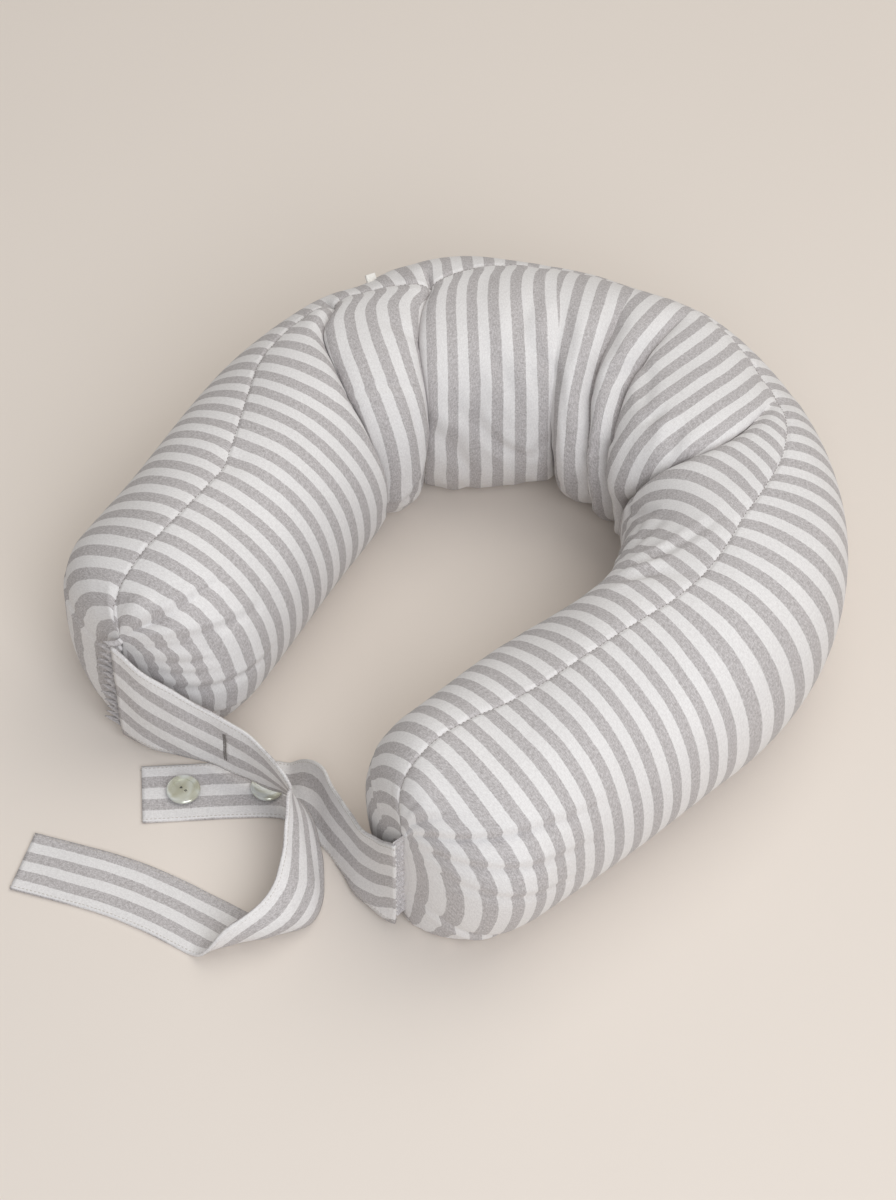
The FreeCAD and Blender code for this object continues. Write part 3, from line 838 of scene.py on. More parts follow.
    def _zip_bed(self, s: Array, theta: Array) -> Array:
        """Share of the slack and puckers that stays round the zip."""
        first, last = self.zip_span[0] - 8, self.zip_span[1] + 8
        near = ease((s - first) / 14) * ease((last - s) / 14)
        return 1 - near * np.exp(-((theta - self.zip_angle) / 13) ** 4)

    def _phase(self, s: Array) -> Array:
        """Offset between the two panels' stripes at the top seam."""
        return through(s, [(-553, 5.0), (-420, 6.0), (-300, 9.0), (300, 9.0), (553, 8.0)])

    def _inner_places(self, seam_s: Array, creases: List[int], theta: Array) -> Array:
        """Distance along the tube of each point of the inner panel, with columns on the folds."""
        marks = [seam_s[0]] + [seam_s[c] for c in creases] + [seam_s[-1]]
        places = np.empty_like(theta)
        for row in range(theta.shape[1]):
            at = [self.fold_place(fold, theta[c, row:row + 1])[0] - fold.at_seam()
                  for fold, c in zip(self.folds, creases)]
            back = ease(np.array((326.0 - theta[creases[0], row]) / 40.0))
            front = ease(np.array((theta[creases[0], row] - theta[creases[0], 0]) / 14.0))
            shifts = [0.0, 0.0] + [a * float(back * front) for a in at] + [0.0, 0.0]
            stops = [marks[0], marks[0] + 190.0] + marks[1:-1] + [marks[-1] - 190.0, marks[-1]]
            places[:, row] = seam_s + np.interp(seam_s, stops, shifts)
        return places

    def _across(self, points: Array) -> Array:
        """Distance from the first row, measured over the cloth."""
        step = np.linalg.norm(np.diff(points, axis=1), axis=-1)
        return np.concatenate([np.zeros((len(points), 1)), np.cumsum(step, 1)], 1)

    def _inner_cloth(self, points: Array, creases: List[int]) -> List[Array]:
        """Cloth coordinates of the inner panel, one array for each stretch between folds."""
        step = np.linalg.norm(np.diff(points, axis=0), axis=-1)
        run = np.concatenate([np.zeros((1, points.shape[1])), np.cumsum(step, 0)], 0)
        seam = run[:, 0] - run[:, 0].mean()
        cuts = [0] + creases + [len(points) - 1]
        anchors = [int(np.searchsorted(run[:, 0], self.end_anchor))]
        anchors += [(a + b) // 2 for a, b in zip(cuts[1:-1], cuts[2:-1])]
        anchors += [len(points) - 1 - int(np.searchsorted(run[-1, 0] - run[::-1, 0], self.end_anchor))]
        return [seam[anchor] + run - run[anchor] for anchor in anchors] + [self._across(points)]

    def _mesh(self, inside: Array, outside: Array, uv_in: List[Array], uv_out: Array, creases: List[int]
              ) -> bpy.types.Object:
        """Join both panels into one closed mesh with its cloth coordinates."""
        ni, no = inside.shape[1] - 1, outside.shape[1] - 1
        ring = np.concatenate([inside[:, :-1], outside[:, :-1]], 1)
        columns, girth = ring.shape[:2]
        stretch = np.zeros(columns - 1, int)
        for c in creases:
            stretch[c:] += 1
        across = uv_in[-1]
        uv = np.empty((columns - 1, girth, 4, 2))
        for n, (dc, dr) in enumerate(((0, 0), (0, 1), (1, 1), (1, 0))):
            for k in range(len(uv_in) - 1):
                rows = stretch == k
                cols = np.nonzero(rows)[0]
                u = uv_in[k][cols[0] + dc:cols[-1] + 1 + dc, dr:ni + dr]
                uv[rows, :ni, n, 0] = u
                uv[rows, :ni, n, 1] = across[cols[0] + dc:cols[-1] + 1 + dc, dr:ni + dr]
            uv[:, ni:, n, :] = uv_out[dc:columns - 1 + dc, dr:no + dr]
        caps = np.tile([[0.0, 0.0], [2.0, 0.0], [2.0, 1.0]], (2 * girth, 1))
        verts, faces = capped_tube(ring, (ring[0].mean(0), ring[-1].mean(0)))
        return make_mesh("linen_cover", verts, faces, np.concatenate([uv.reshape(-1, 2), caps]))


@dataclass
class InnerLayer:
    """Closed layer under the cover: the cotton casing or the beads, following the cover's folds."""

    name: str
    nodes: Tuple[str, str]
    inset: float
    finish: Finish
    slot: str

    def build(self, wardrobe: Wardrobe, body: Array, middle: Array) -> bpy.types.Object:
        """Make the layer from the cover's points.

        Args:
            wardrobe: where the finishes come from.
            body: the cover's plain folded points.
            middle: the centre line under each column.

        Returns:
            The layer's object.
        """
        keep = [0] + list(range(3, len(body) - 3, 4)) + [len(body) - 1]
        ring = body[keep][:, ::3]
        hub = middle[keep][:, None]
        away = np.linalg.norm(ring - hub, axis=2, keepdims=True)
        ring = hub + (ring - hub) * np.clip(1 - self.inset / np.maximum(away, 1.0), 0.3, 1.0)
        ring = ring[1:-1]
        piece = make_mesh(self.name, *capped_tube(ring, (ring[0].mean(0), ring[-1].mean(0))))
        dress(piece, wardrobe.get(self.finish))
        return piece


# ---------------------------------------------------------------- repeated stitches and teeth
@dataclass
class RowOfStitches:
    """Small solid repeated along a line by Geometry Nodes: stitches, or a zip's teeth."""

    name: str
    length: float
    width: float
    thickness: float
    pitch: float
    finish: Finish
    twist: float = 0.0                         # degrees that each one turns on the line

    def tree(self, wardrobe: Wardrobe) -> bpy.types.NodeTree:
        """Build the node tree: line, points, instances, plain mesh."""
        tree = bpy.data.node_groups.new(self.name + "_tree", "GeometryNodeTree")
        tree.interface.new_socket("Geometry", in_out="INPUT", socket_type="NodeSocketGeometry")
        for name in ("Pitch", "Length", "Width", "Thickness", "Twist"):
            tree.interface.new_socket(name, in_out="INPUT", socket_type="NodeSocketFloat")
        tree.interface.new_socket("Geometry", in_out="OUTPUT", socket_type="NodeSocketGeometry")
        given = add(tree, "NodeGroupInput").outputs
        curve = add(tree, "GeometryNodeMeshToCurve", {"Mesh": given["Geometry"]})
        even = add(tree, "GeometryNodeResampleCurve", {"Curve": curve.outputs[0], "Length": given["Pitch"]},
                   mode="LENGTH")
        size = add(tree, "ShaderNodeCombineXYZ", {"X": given["Length"], "Y": given["Width"],
                                                  "Z": given["Thickness"]})
        block = add(tree, "GeometryNodeMeshCube", {"Size": size.outputs[0]},
                    {"Vertices X": 4, "Vertices Y": 3, "Vertices Z": 2})
        rounded = self._rounded(tree, block.outputs[0], given)
        tangent = add(tree, "GeometryNodeInputTangent")
        along = add(tree, "FunctionNodeAlignRotationToVector", {"Vector": tangent.outputs[0]}, axis="X")
        upright = add(tree, "FunctionNodeAlignRotationToVector",
                      {"Rotation": along.outputs[0]}, {"Vector": (0.0, 0.0, 1.0)}, axis="Z", pivot_axis="X")
        spin = add(tree, "FunctionNodeAxisAngleToRotation", {"Angle": given["Twist"]},
                   {"Axis": (0.0, 0.0, 1.0)})
        turned = add(tree, "FunctionNodeRotateRotation",
                     {"Rotation": upright.outputs[0], "Rotate By": spin.outputs[0]}, rotation_space="LOCAL")
        vary = add(tree, "FunctionNodeRandomValue", data_type="FLOAT")
        vary.inputs[2].default_value, vary.inputs[3].default_value = 0.86, 1.1
        vary.inputs["Seed"].default_value = SEED
        placed = add(tree, "GeometryNodeInstanceOnPoints",
                     {"Points": even.outputs[0], "Instance": rounded, "Rotation": turned.outputs[0],
                      "Scale": vary.outputs[1]})
        real = add(tree, "GeometryNodeRealizeInstances", {"Geometry": placed.outputs[0]})
        finished = add(tree, "GeometryNodeSetMaterial", {"Geometry": real.outputs[0]})
        finished.inputs["Material"].default_value = wardrobe.get(self.finish)
        add(tree, "NodeGroupOutput", {0: finished.outputs[0]})
        return tree

    def _rounded(self, tree: bpy.types.NodeTree, block: bpy.types.NodeSocket, given) -> bpy.types.NodeSocket:
        """Sink the block's ends so that each stitch dips into the cloth."""
        place = add(tree, "GeometryNodeInputPosition").outputs[0]
        x = add(tree, "ShaderNodeSeparateXYZ", {"Vector": place}).outputs["X"]
        share = math_node(tree, "DIVIDE", x, given["Length"])
        dip = math_node(tree, "MULTIPLY", math_node(tree, "POWER", math_node(tree, "ABSOLUTE", share), 2.0),
                        given["Thickness"])
        down = math_node(tree, "MULTIPLY", dip, -3.0)
        offset = add(tree, "ShaderNodeCombineXYZ", {"Z": down}).outputs[0]
        return add(tree, "GeometryNodeSetPosition", {"Geometry": block, "Offset": offset}).outputs[0]

    def along(self, paths: Sequence[Array], wardrobe: Wardrobe) -> bpy.types.Object:
        """Make the row along one or more lines.

        Args:
            paths: each line's points in millimetres.
            wardrobe: where the finishes come from.

        Returns:
            One object with every stitch as plain mesh.
        """
        verts, edges = [], []
        for path in paths:
            start = len(verts)
            verts.extend((np.asarray(path) * MM).tolist())
            edges.extend([(start + n, start + n + 1) for n in range(len(path) - 1)])
        mesh = bpy.data.meshes.new(self.name)
        mesh.from_pydata(verts, edges, [])
        piece = bpy.data.objects.new(self.name, mesh)
        bpy.context.scene.collection.objects.link(piece)
        tree = self.tree(wardrobe)
        maker = piece.modifiers.new("stitches", "NODES")
        maker.node_group = tree
        values = {"Pitch": self.pitch * MM, "Length": self.length * MM, "Width": self.width * MM,
                  "Thickness": self.thickness * MM, "Twist": math.radians(self.twist)}
        for item in tree.interface.items_tree:
            if item.item_type == "SOCKET" and item.in_out == "INPUT" and item.name in values:
                maker[item.identifier] = values[item.name]
        return applied(piece)


# ---------------------------------------------------------------- straps
@dataclass
class Strap:
    """Folded and edge-stitched linen strap through stations of low and high edges."""

    name: str
    stations: Tuple[Tuple[Point, Point], ...]
    widths: Tuple[float, ...]
    bulge: Tuple[Tuple[float, float], ...]     # (station, how far the middle stands out)
    stripes: Tuple[Tuple[float, float], ...]   # (station, cloth millimetres for each millimetre across)
    plan_shift: float = 83.75
    width: float = 50.0
    thickness: float = 2.0
    cells: int = 24
    step: float = 3.0
    hole: Optional[float] = None               # station of the buttonhole
    hole_length: float = 27.0
    ripple: float = 0.6

    def _grid(self) -> Tuple[Array, Array, Array, Array, Optional[int], Array]:
        """Points, face directions, distances along, widths, the buttonhole's column and stations."""
        low = [(x, y + self.plan_shift, z) for (x, y, z), _ in self.stations]
        high = [(x, y + self.plan_shift, z) for _, (x, y, z) in self.stations]
        fine = np.linspace(0, len(low) - 1, 40 * len(low))
        centre = (spline(low, fine) + spline(high, fine)) / 2
        run = np.concatenate([[0], np.cumsum(np.linalg.norm(np.diff(centre, axis=0), axis=1))])
        count = int(run[-1] / self.step)
        at = np.interp(np.linspace(0, run[-1], count + 1), run, fine)
        column = None
        if self.hole is not None:
            middle = float(np.interp(self.hole, fine, run))
            lips = np.interp([middle - 0.55, middle + 0.55], run, fine)
            at = np.array(sorted([t for t in at if abs(t - self.hole) > 0.05] + lips.tolist()))
            column = int(np.searchsorted(at, self.hole)) - 1
        a, b = spline(low, at), spline(high, at)
        mid, across = (a + b) / 2, unit(b - a)
        wide = self.width * through(at, list(enumerate(self.widths)))
        ahead = unit(np.gradient(mid, axis=0))
        face = unit(np.cross(ahead, across))
        share = np.linspace(0, 1, self.cells + 1)
        points = mid[:, None] + across[:, None] * (wide[:, None, None] * (share[None, :, None] - 0.5))
        along = np.interp(at, fine, run)
        crown = through(at, self.bulge)[:, None] * 4 * share * (1 - share)
        row = along[:, None]
        wave = self.ripple * (np.sin(row / 11 + share * 4.2) * np.sin(share * 9.0 + row / 37)
                              + 0.5 * np.sin(row / 5.1 + 2.0) * (2 * np.abs(share - 0.5)) ** 3)
        lying = 1 - 0.8 * (np.abs(face[:, 2]) > 0.9)[:, None]
        points = points + face[:, None] * (crown + wave * lying)[..., None]
        points[..., 2] = np.maximum(points[..., 2], self.thickness / 2 + 0.15)
        return points, face, along, wide, column, at

    def build(self, wardrobe: Wardrobe) -> Tuple[bpy.types.Object, bpy.types.Object, float, float]:
        """Make the strap and the stitching along its edges.

        Args:
            wardrobe: where the finishes come from.

        Returns:
            The strap, its edge stitching, its length and its cut area in square metres.
        """
        points, face, along, wide, column, stations = self._grid()
        share = np.linspace(0, 1, self.cells + 1)
        count = len(points)
        index = np.arange(count * (self.cells + 1)).reshape(count, self.cells + 1)
        quads, uvs = [], []
        cloth = through(stations, self.stripes)
        depth = (1 - share)[None, :] * (wide * cloth)[:, None]
        for i in range(count - 1):
            for j in range(self.cells):
                middle = (share[j] + share[j + 1]) / 2
                if i == column and abs(middle - 0.5) * wide[i] < self.hole_length / 2:
                    continue
                quads.append([index[i, j], index[i + 1, j], index[i + 1, j + 1], index[i, j + 1]])
                uvs.extend([[depth[i, j], along[i]], [depth[i + 1, j], along[i + 1]],
                            [depth[i + 1, j + 1], along[i + 1]], [depth[i, j + 1], along[i]]])
        strap = make_mesh(self.name, points.reshape(-1, 3), quads, np.array(uvs))
        strap = thickened(strap, self.thickness)
        dress(strap, wardrobe.get(Finish.LINEN))
        lines = []
        for edge in (1, self.cells - 1):
            for side in (-1, 1):
                lines.append(points[:, edge] + face * side * (self.thickness / 2 + 0.05))
        stitches = RowOfStitches(self.name + "_stitching", 2.0, 0.55, 0.35, 3.1, Finish.THREAD)
        sewn = stitches.along(lines, wardrobe)
        area = float(np.trapz(wide, along)) * MM * MM
        return strap, sewn, float(along[-1]) * MM, area

    def hole_lines(self) -> List[Array]:
        """Lines just beside the buttonhole's lips, on both faces."""
        points, face, _, wide, column, _ = self._grid()
        lines = []
        for i, way in ((column, -1), (column + 1, 1)):
            share = np.linspace(0, 1, self.cells + 1)
            rows = np.nonzero(np.abs(share - 0.5) * wide[i] <= self.hole_length / 2 + 1)[0]
            ahead = unit(points[column + 1, rows] - points[column, rows])
            for side in (-1, 1):
                lines.append(points[i, rows] + ahead * way * 0.25 + face[i] * side * (self.thickness / 2 + 0.1))
        return lines


BASE_STATIONS = (
    ((-132, -278.5, 11), (-133, -278, 112)), ((-110, -276, 11), (-112, -275, 100)),
    ((-88, -269, 11), (-91, -265, 84)), ((-62, -257, 11), (-66, -252, 66)),
    ((-36, -252, 11), (-39, -248, 62)), ((-14, -248, 12), (-11, -251, 62)))
TAIL_STATIONS = (
    ((5, -246, 16), (20, -261, 61)), ((24, -250, 19), (26, -269, 61)),
    ((42, -258, 13), (37, -284, 56)), ((62, -275, 6), (50, -307, 46)),
    ((77, -293, 3), (57, -323, 42)), ((82, -313, 3), (60, -341, 38)),
    ((68, -331, 3), (55, -363, 32)), ((45, -336, 2.4), (46, -380, 14)),
    ((20, -337, 1.5), (32, -387, 1.5)), ((-22, -344, 1.5), (-7, -394, 1.5)),
    ((-64, -356, 1.5), (-46, -405, 1.5)), ((-124, -381, 1.5), (-104, -428, 1.5)))
BUTTONED_STATIONS = (
    ((132, -278.5, 11), (133, -278, 108)), ((112, -278, 8), (113, -272, 90)),
    ((90, -273, 4), (90, -264, 74)), ((68, -264, 3), (66, -252, 61)),
    ((47, -257, 3), (42, -239, 49)), ((29, -252, 3), (20, -226, 38)),
    ((17, -252, 2.8), (-3, -219, 20)), ((8, -255, 1.9), (-20, -219, 3.6)),
    ((0, -260, 1.5), (-31, -223, 1.8)), ((-20, -278, 1.5), (-56, -243, 1.5)),
    ((-70, -325, 1.5), (-105, -289, 1.5)))


@dataclass
class Ruffle:
    """Gathered seam allowance where an arm's end is drawn up and sewn to its strap."""

    side: int
    line: CentreLine = field(default_factory=CentreLine)
    height: float = 98.0
    depth: float = 9.2
    centre_height: float = 64.0
    pleat: float = 6.4
    swing: float = 2.4
    # the stripe offset puts a grey stripe along the ruffle, a painted dark line for the shade where the arm's
    # end meets its strap
    stripe: float = 6.0                        # cloth millimetres from a stripe's edge to the ruffle's root
    flare: float = 0.0                         # how far its free edge turns out from the strap
    rows: int = 260
    columns: int = 7
    thickness: float = 0.9

    def build(self, wardrobe: Wardrobe) -> Tuple[bpy.types.Object, float, float]:
        """Make the ruffle.

        Args:
            wardrobe: where the finishes come from.

        Returns:
            The piece, and the flat length and depth of its cloth in metres.
        """
        rng = np.random.default_rng(SEED + self.side)
        middle, way, out = self.line.frame(np.array([self.side * self.line.half]))
        ahead = np.append(way[0] * self.side, 0.0)
        sideways = np.append(out[0], 0.0)
        h = np.linspace(-self.height / 2, self.height / 2, self.rows)
        turn = 2 * np.pi * h / self.pleat + 0.9 * np.sin(h / 7.0 + rng.uniform(0, 6))
        swing = self.swing * (1 + 0.4 * np.sin(h / 5.3 + rng.uniform(0, 6)))
        deep = np.linspace(0, 1, self.columns)
        base = np.append(middle[0], self.centre_height)
        points = np.empty((len(h), len(deep), 3))
        for n, share in enumerate(deep):
            spread = 0.55 + 0.75 * share
            points[:, n] = (base + np.outer(np.ones_like(h), ahead) * (share * self.depth - 1.0)
                            + np.outer(swing * spread * np.sin(turn) + self.flare * share ** 2, sideways)
                            + np.outer(h + 0.6 * np.cos(turn), (0, 0, 1)))
        quads = grid_quads(*points.shape[:2])
        run = np.concatenate([[0], np.cumsum(np.linalg.norm(np.diff(points[:, 3], axis=0), axis=1))])
        grid_u = np.repeat((deep * self.depth + self.stripe)[None], len(h), 0)
        grid_v = np.repeat(run[:, None], len(deep), 1)
        uv = np.stack([grid_u, grid_v], -1).reshape(-1, 2)[np.ravel(quads)]
        name = "end_ruffle_right" if self.side > 0 else "end_ruffle_left"
        piece = thickened(make_mesh(name, points.reshape(-1, 3), quads, uv), self.thickness)
        dress(piece, wardrobe.get(Finish.LINEN))
        return piece, float(run[-1]) * MM, math.hypot(self.depth, self.flare) * MM


@dataclass
class SeamTab:
    """Small folded loop of white tape sewn into the top seam at the back."""

    line: CentreLine = field(default_factory=CentreLine)
    angle: float = 154.0
    rise: float = 48.0
    tube_radius: float = 82.0
    width: float = 8.0
    height: float = 9.0
    gap: float = 1.1
    thickness: float = 0.6
    rows: int = 31
    columns: int = 9

    def build(self, wardrobe: Wardrobe) -> bpy.types.Object:
        """Make the loop."""
        turn, rise = math.radians(self.angle), math.radians(self.rise)
        out = np.array([math.cos(turn), math.sin(turn), 0.0])
        face = out * math.cos(rise) + np.array([0, 0, math.sin(rise)])
        along = np.array([-math.sin(turn), math.cos(turn), 0.0])
        side = np.cross(along, face)
        centre = np.array([0, self.line.arc_centre_y, 76.0]) + out * self.line.arc_radius
        base = centre + face * (self.tube_radius - 0.6)
        t = np.linspace(0, 1, self.rows)
        leg = np.clip(np.minimum(t, 1 - t) * 2.6, 0, 1)
        up = self.height * np.sin(leg * math.pi / 2)
        across = np.tanh((t - 0.5) * 9) * self.gap * (0.6 + 0.5 * leg)
        share = np.linspace(-0.5, 0.5, self.columns)
        points = (base + up[:, None, None] * face + across[:, None, None] * side
                  + share[None, :, None] * self.width * along)
        quads = grid_quads(*points.shape[:2])
        piece = thickened(make_mesh("woven_tape_tab", points.reshape(-1, 3), quads), self.thickness)
        dress(piece, wardrobe.get(Finish.TAPE))
        return piece


@dataclass
class ConcealedZip:
    """Nylon zip in the lower seam at the back: two tapes and a coil of teeth."""

    line: CentreLine = field(default_factory=CentreLine)
    tube_radius: float = 82.0
    height: float = 76.0
    roll: float = 30.0
    start: float = 103.0
    sweep: float = 66.0
    tape_thickness: float = 0.6
    teeth_rise: float = 1.95
    teeth_apart: float = 1.5
    # across the tapes: (side, height over the tube), raised beside the teeth
    profile: Tuple[Tuple[float, float], ...] = (
        (-12, 0.35), (-8, 0.55), (-4, 0.7), (-2.8, 1.05), (-2.0, 0.8), (0, 0.75), (2.0, 0.8), (2.8, 1.05),
        (4, 0.7), (8, 0.55), (12, 0.35))

    def _at(self, turn: Array, over: float, side: float) -> Array:
        """Points over the tube at turns round the back, over its surface and to one side."""
        roll = math.radians(-self.roll)
        out = np.stack([np.cos(turn), np.sin(turn), np.zeros_like(turn)], -1)
        up = np.array([0.0, 0.0, 1.0])
        face = out * math.cos(roll) + up * math.sin(roll)
        across = -out * math.sin(roll) + up * math.cos(roll)
        centre = np.array([0, self.line.arc_centre_y, self.height]) + out * self.line.arc_radius
        return centre + face * (self.tube_radius + over) + across * side

    def tapes(self, wardrobe: Wardrobe) -> bpy.types.Object:
        """Make both tapes as one woven strip with a raised bead beside the teeth."""
        turn = np.radians(np.linspace(self.start - 2, self.start + self.sweep + 2, 180))
        grid = np.stack([self._at(turn, over, side) for side, over in self.profile], 1)
        quads = grid_quads(*grid.shape[:2], flip=True)
        piece = thickened(make_mesh("zip_tapes", grid.reshape(-1, 3), quads), self.tape_thickness)
        dress(piece, wardrobe.get(Finish.TAPE))
        return piece

    def teeth(self, wardrobe: Wardrobe) -> bpy.types.Object:
        """Make the coil's teeth, alternating from both tapes."""
        turn = np.radians(np.linspace(self.start + 0.8, self.start + self.sweep - 0.8, 240))
        lines = [self._at(turn, self.teeth_rise, side * self.teeth_apart) for side in (-0.5, 0.5)]
        row = RowOfStitches("zip_coil", 2.6, 0.8, 1.2, 1.5, Finish.COIL, twist=78.0)
        return row.along(lines, wardrobe)


# ---------------------------------------------------------------- studio
@dataclass(frozen=True)
class SoftBox:
    """Square light that faces the pillow."""

    name: str
    place: Point
    size: float
    power: float
    colour: str

    def hang(self) -> None:
        """Add the light to the scene."""
        lamp = bpy.data.lights.new(self.name, "AREA")
        lamp.shape, lamp.size, lamp.energy = "SQUARE", self.size, self.power
        lamp.color = linear(self.colour)[:3]
        piece = bpy.data.objects.new(self.name, lamp)
        piece.location = self.place
        aim = Vector((0.0, 0.0, 0.05)) - Vector(self.place)
        piece.rotation_euler = aim.to_track_quat("-Z", "Y").to_euler()
        bpy.context.scene.collection.objects.link(piece)


@dataclass
class Studio:
    """Pale seamless floor, soft light from the right and a camera above the straps."""

    target: Point = (-0.001, 0.02575, 0.060)
    azimuth: float = 39.5
    elevation: float = 51.0
    distance: float = 2.2
    lens: float = 88.0
    sensor_width: float = 36.0
    floor_half: float = 9000.0                 # mm from the middle of the floor to its sides
    floor_drop: float = 0.05                   # mm that the floor lies under the pillow
    sky_colour: str = "FAFAFA"
    sky_strength: float = 0.39
    lights: Tuple[SoftBox, ...] = (
        SoftBox("window", (2.1, -1.3, 2.3), 2.2, 64.0, "F7FAFF"),
        SoftBox("fill", (-2.4, -1.8, 2.6), 3.0, 1.5, "FFFFFF"),
        SoftBox("top", (0.3, 1.5, 3.1), 3.0, 45.0, "FFFAF2"))

    def build(self, wardrobe: Wardrobe) -> None:
        """Make the floor, the lights, the sky and the camera."""
        self._floor(wardrobe)
        for light in self.lights:
            light.hang()
        world = bpy.data.worlds.new("studio")
        bpy.context.scene.world = world
        world.use_nodes = True
        world.node_tree.nodes["Background"].inputs["Color"].default_value = linear(self.sky_colour)
        world.node_tree.nodes["Background"].inputs["Strength"].default_value = self.sky_strength
        bpy.context.scene.view_settings.view_transform = "Standard"
        self._camera()

    def _floor(self, wardrobe: Wardrobe) -> None:
        """Lay the floor just under the pillow."""
        corners = [(x * self.floor_half, y * self.floor_half, -self.floor_drop)
                   for x, y in ((-1, -1), (1, -1), (1, 1), (-1, 1))]
        floor = make_mesh("floor", np.array(corners), [(0, 1, 2, 3)], smooth=False)
        dress(floor, wardrobe.get(Finish.PAPER))

    def _camera(self) -> None:
        """Set the camera over the front right."""
        lens = bpy.data.cameras.new("camera")
        lens.lens, lens.sensor_width, lens.clip_end = self.lens, self.sensor_width, 50.0
        camera = bpy.data.objects.new("camera", lens)
        turn, lift = math.radians(self.azimuth), math.radians(self.elevation)
        offset = Vector((math.sin(turn) * math.cos(lift), -math.cos(turn) * math.cos(lift), math.sin(lift)))
        camera.location = Vector(self.target) + offset * self.distance
        camera.rotation_euler = (-offset).to_track_quat("-Z", "Y").to_euler()
        bpy.context.scene.collection.objects.link(camera)
        bpy.context.scene.camera = camera


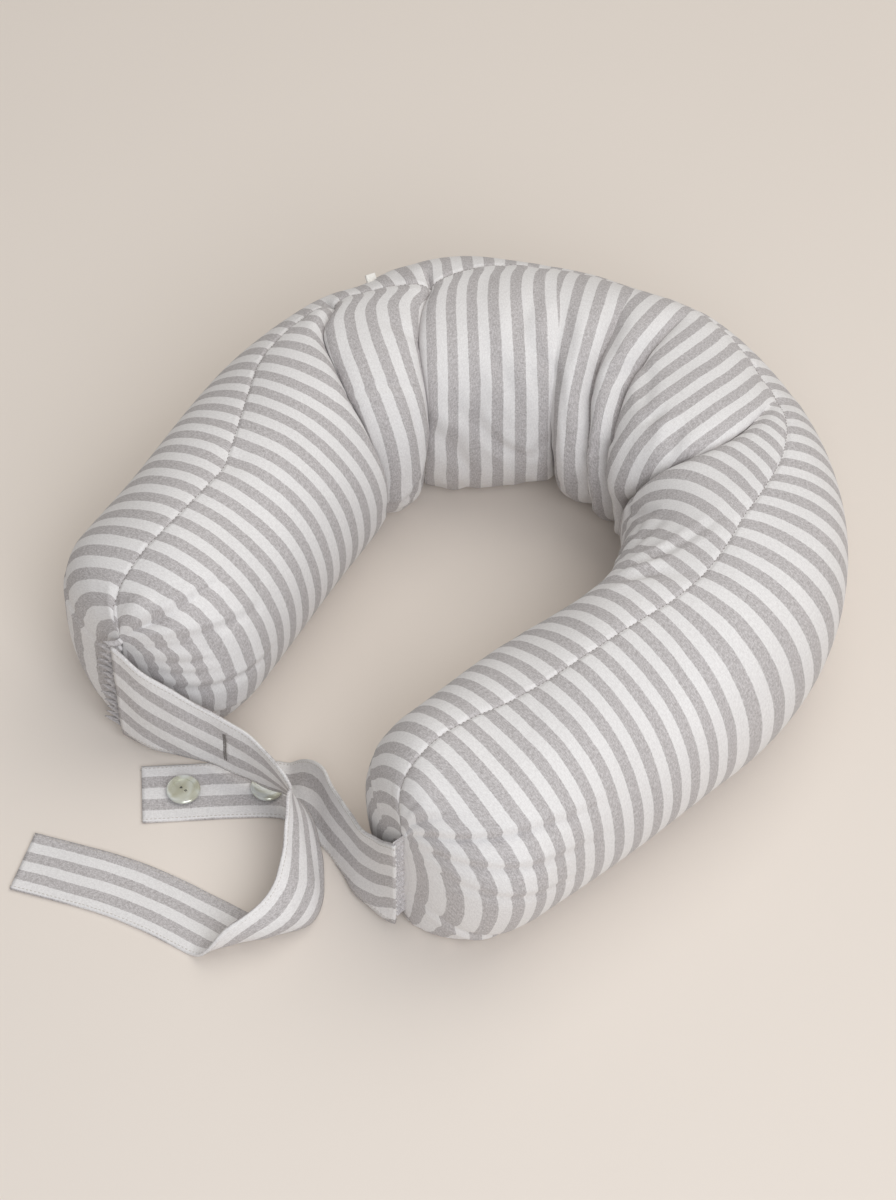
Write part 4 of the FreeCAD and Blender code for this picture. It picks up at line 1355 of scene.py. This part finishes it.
# ---------------------------------------------------------------- the whole pillow
@dataclass
class NursingPillow:
    """All of the pillow's pieces; the cover, its layers, its seam stitches and the tie strap stay on no body,
    the rest are put on the bodies that carry them.
    """

    wardrobe: Wardrobe
    frame: Dict

    def build(self) -> None:
        """Make every piece in order."""
        self._stuffed_tube()
        self._straps()
        self._ends()
        self._trims()
        self._carried_over()

    def _across_back(self, piece: bpy.types.Object) -> None:
        """Bake a piece's placement into its mesh."""
        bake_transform(piece)

    def _stuffed_tube(self) -> None:
        """Cover, top seam stitches, casing and beads."""
        tube = TubeCover()
        cover, body, middle, seam = tube.build(self.wardrobe)
        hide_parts("outer_cover_left", "outer_cover_right", "inner_cover_left", "inner_cover_right")
        self._across_back(cover)
        LOG.info("cover: %d faces", len(cover.data.polygons))
        # the dark grey stitches along the seam also paint the shade of the seam's line
        stitches = RowOfStitches("top_seam_stitches", 1.5, 0.5, 0.3, 3.4, Finish.THREAD_DARKENED_AS_SHADE)
        sewn = stitches.along([seam[4:-4] + np.array([0, 0, 0.15])], self.wardrobe)
        self._across_back(sewn)
        for layer in (InnerLayer("cotton_casing", ("casing_left", "casing_right"), 11.0, Finish.CASING,
                                 "casing_cotton"),
                      InnerLayer("loose_beads", ("bead_filling_left", "bead_filling_right"), 13.5,
                                 Finish.BEADS, "beads")):
            piece = layer.build(self.wardrobe, body, middle)
            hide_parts(*layer.nodes)
            self._across_back(piece)
            LOG.info("%s: %d faces", layer.name, len(piece.data.polygons))

    def _straps(self) -> None:
        """Long tie strap with its buttonhole, and the buttoned strap."""
        tie = Strap("tie_strap", BASE_STATIONS + TAIL_STATIONS,
                    widths=(2.04, 1.8, 1.46, 1.12, 1.02, 1.0) + (1.0,) * 12,
                    bulge=((0, 1.0), (3, 2.0), (6, 1.0), (8, 0.0), (10, -7.0), (12, -7.0), (13.3, -4.0),
                           (14.5, 0.0), (17, 0.0)),
                    stripes=((0, 0.66), (3, 0.82), (5, 1.0), (7, 1.08), (17, 1.08)), hole=3.5)
        piece, sewn, length, area = tie.build(self.wardrobe)
        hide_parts("left_strap", "left_strap_tie_end")
        for item, slot in ((piece, "striped_linen"), (sewn, "sewing_thread")):
            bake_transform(item)
        LOG.info("tie strap: %.3f m long, %.5f m2", length, area)
        # the dark grey stitches round the slit also paint the shade inside the buttonhole
        bar = RowOfStitches("buttonhole_stitches", 1.5, 0.45, 0.25, 0.8, Finish.THREAD_DARKENED_AS_SHADE, twist=90.0)
        hole = bar.along(tie.hole_lines(), self.wardrobe)
        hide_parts("buttonhole_stitching")
        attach(hole, "left_strap_base")
        strap = Strap("buttoned_strap_linen", BUTTONED_STATIONS,
                      widths=(1.96, 1.66, 1.42, 1.22, 1.06) + (1.0,) * 6,
                      bulge=((0, 1.0), (3, 2.0), (5, 1.5), (7, 0.5), (8, 0.0), (10, 0.0)),
                      stripes=((0, 0.68), (3, 0.76), (5, 0.86), (7, 0.9), (10, 0.9)))
        piece, sewn, length, area = strap.build(self.wardrobe)
        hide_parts("right_strap")
        for item, slot in ((piece, "striped_linen"), (sewn, "sewing_thread")):
            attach(item, "buttoned_strap")
        LOG.info("buttoned strap: %.3f m long, %.5f m2", length, area)

    def _ends(self) -> None:
        """Gathered seam allowances at both ends."""
        ruffles = (("end_gather_left", "left_half", Ruffle(-1, swing=4.0, flare=10.0, pleat=8.0)),
                   # stripe=9.4 puts a grey stripe on the right ruffle, painting the shade at the strap's base
                   ("end_gather_right", "right_half", Ruffle(1, swing=1.15, stripe=9.4, height=92.0)))
        for node, body, ruffle in ruffles:
            piece, length, deep = ruffle.build(self.wardrobe)
            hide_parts(node)
            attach(piece, body)
            LOG.info("%s: %.3f m of cloth", piece.name, length)

    def _trims(self) -> None:
        """Tape tab and zip."""
        tab = SeamTab().build(self.wardrobe)
        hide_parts("seam_tab")
        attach(tab, "left_half")
        fastener = ConcealedZip()
        for piece, node, slot in ((fastener.tapes(self.wardrobe), "zip_tape", "cotton_tape"),
                                  (fastener.teeth(self.wardrobe), "zip_teeth", "zip_plastic")):
            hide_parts(node)
            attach(piece, "left_half")
            LOG.info("%s: %d faces", piece.name, len(piece.data.polygons))

    def _carried_over(self) -> None:
        """Finish the parts whose shape stays as it is."""
        for node, finish in (("shell_button_near_end", Finish.PEARL), ("shell_button_middle", Finish.PEARL),
                             ("button_thread_near_end", Finish.THREAD), ("button_thread_middle", Finish.THREAD),
                             ("zip_stops", Finish.CASTING), ("zip_slider", Finish.CASTING),
                             ("zip_pull", Finish.CASTING)):
            dress(self.frame["nodes"][node], self.wardrobe.get(finish))
            LOG.info("%s finished in %s", node, finish.value.name)


def main() -> None:
    """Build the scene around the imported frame."""
    logging.basicConfig(level=logging.INFO, format="%(name)s: %(message)s")
    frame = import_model()
    wardrobe = Wardrobe()
    Studio().build(wardrobe)
    NursingPillow(wardrobe, frame).build()
    bpy.context.view_layer.update()


if __name__ == "__main__":
    main()
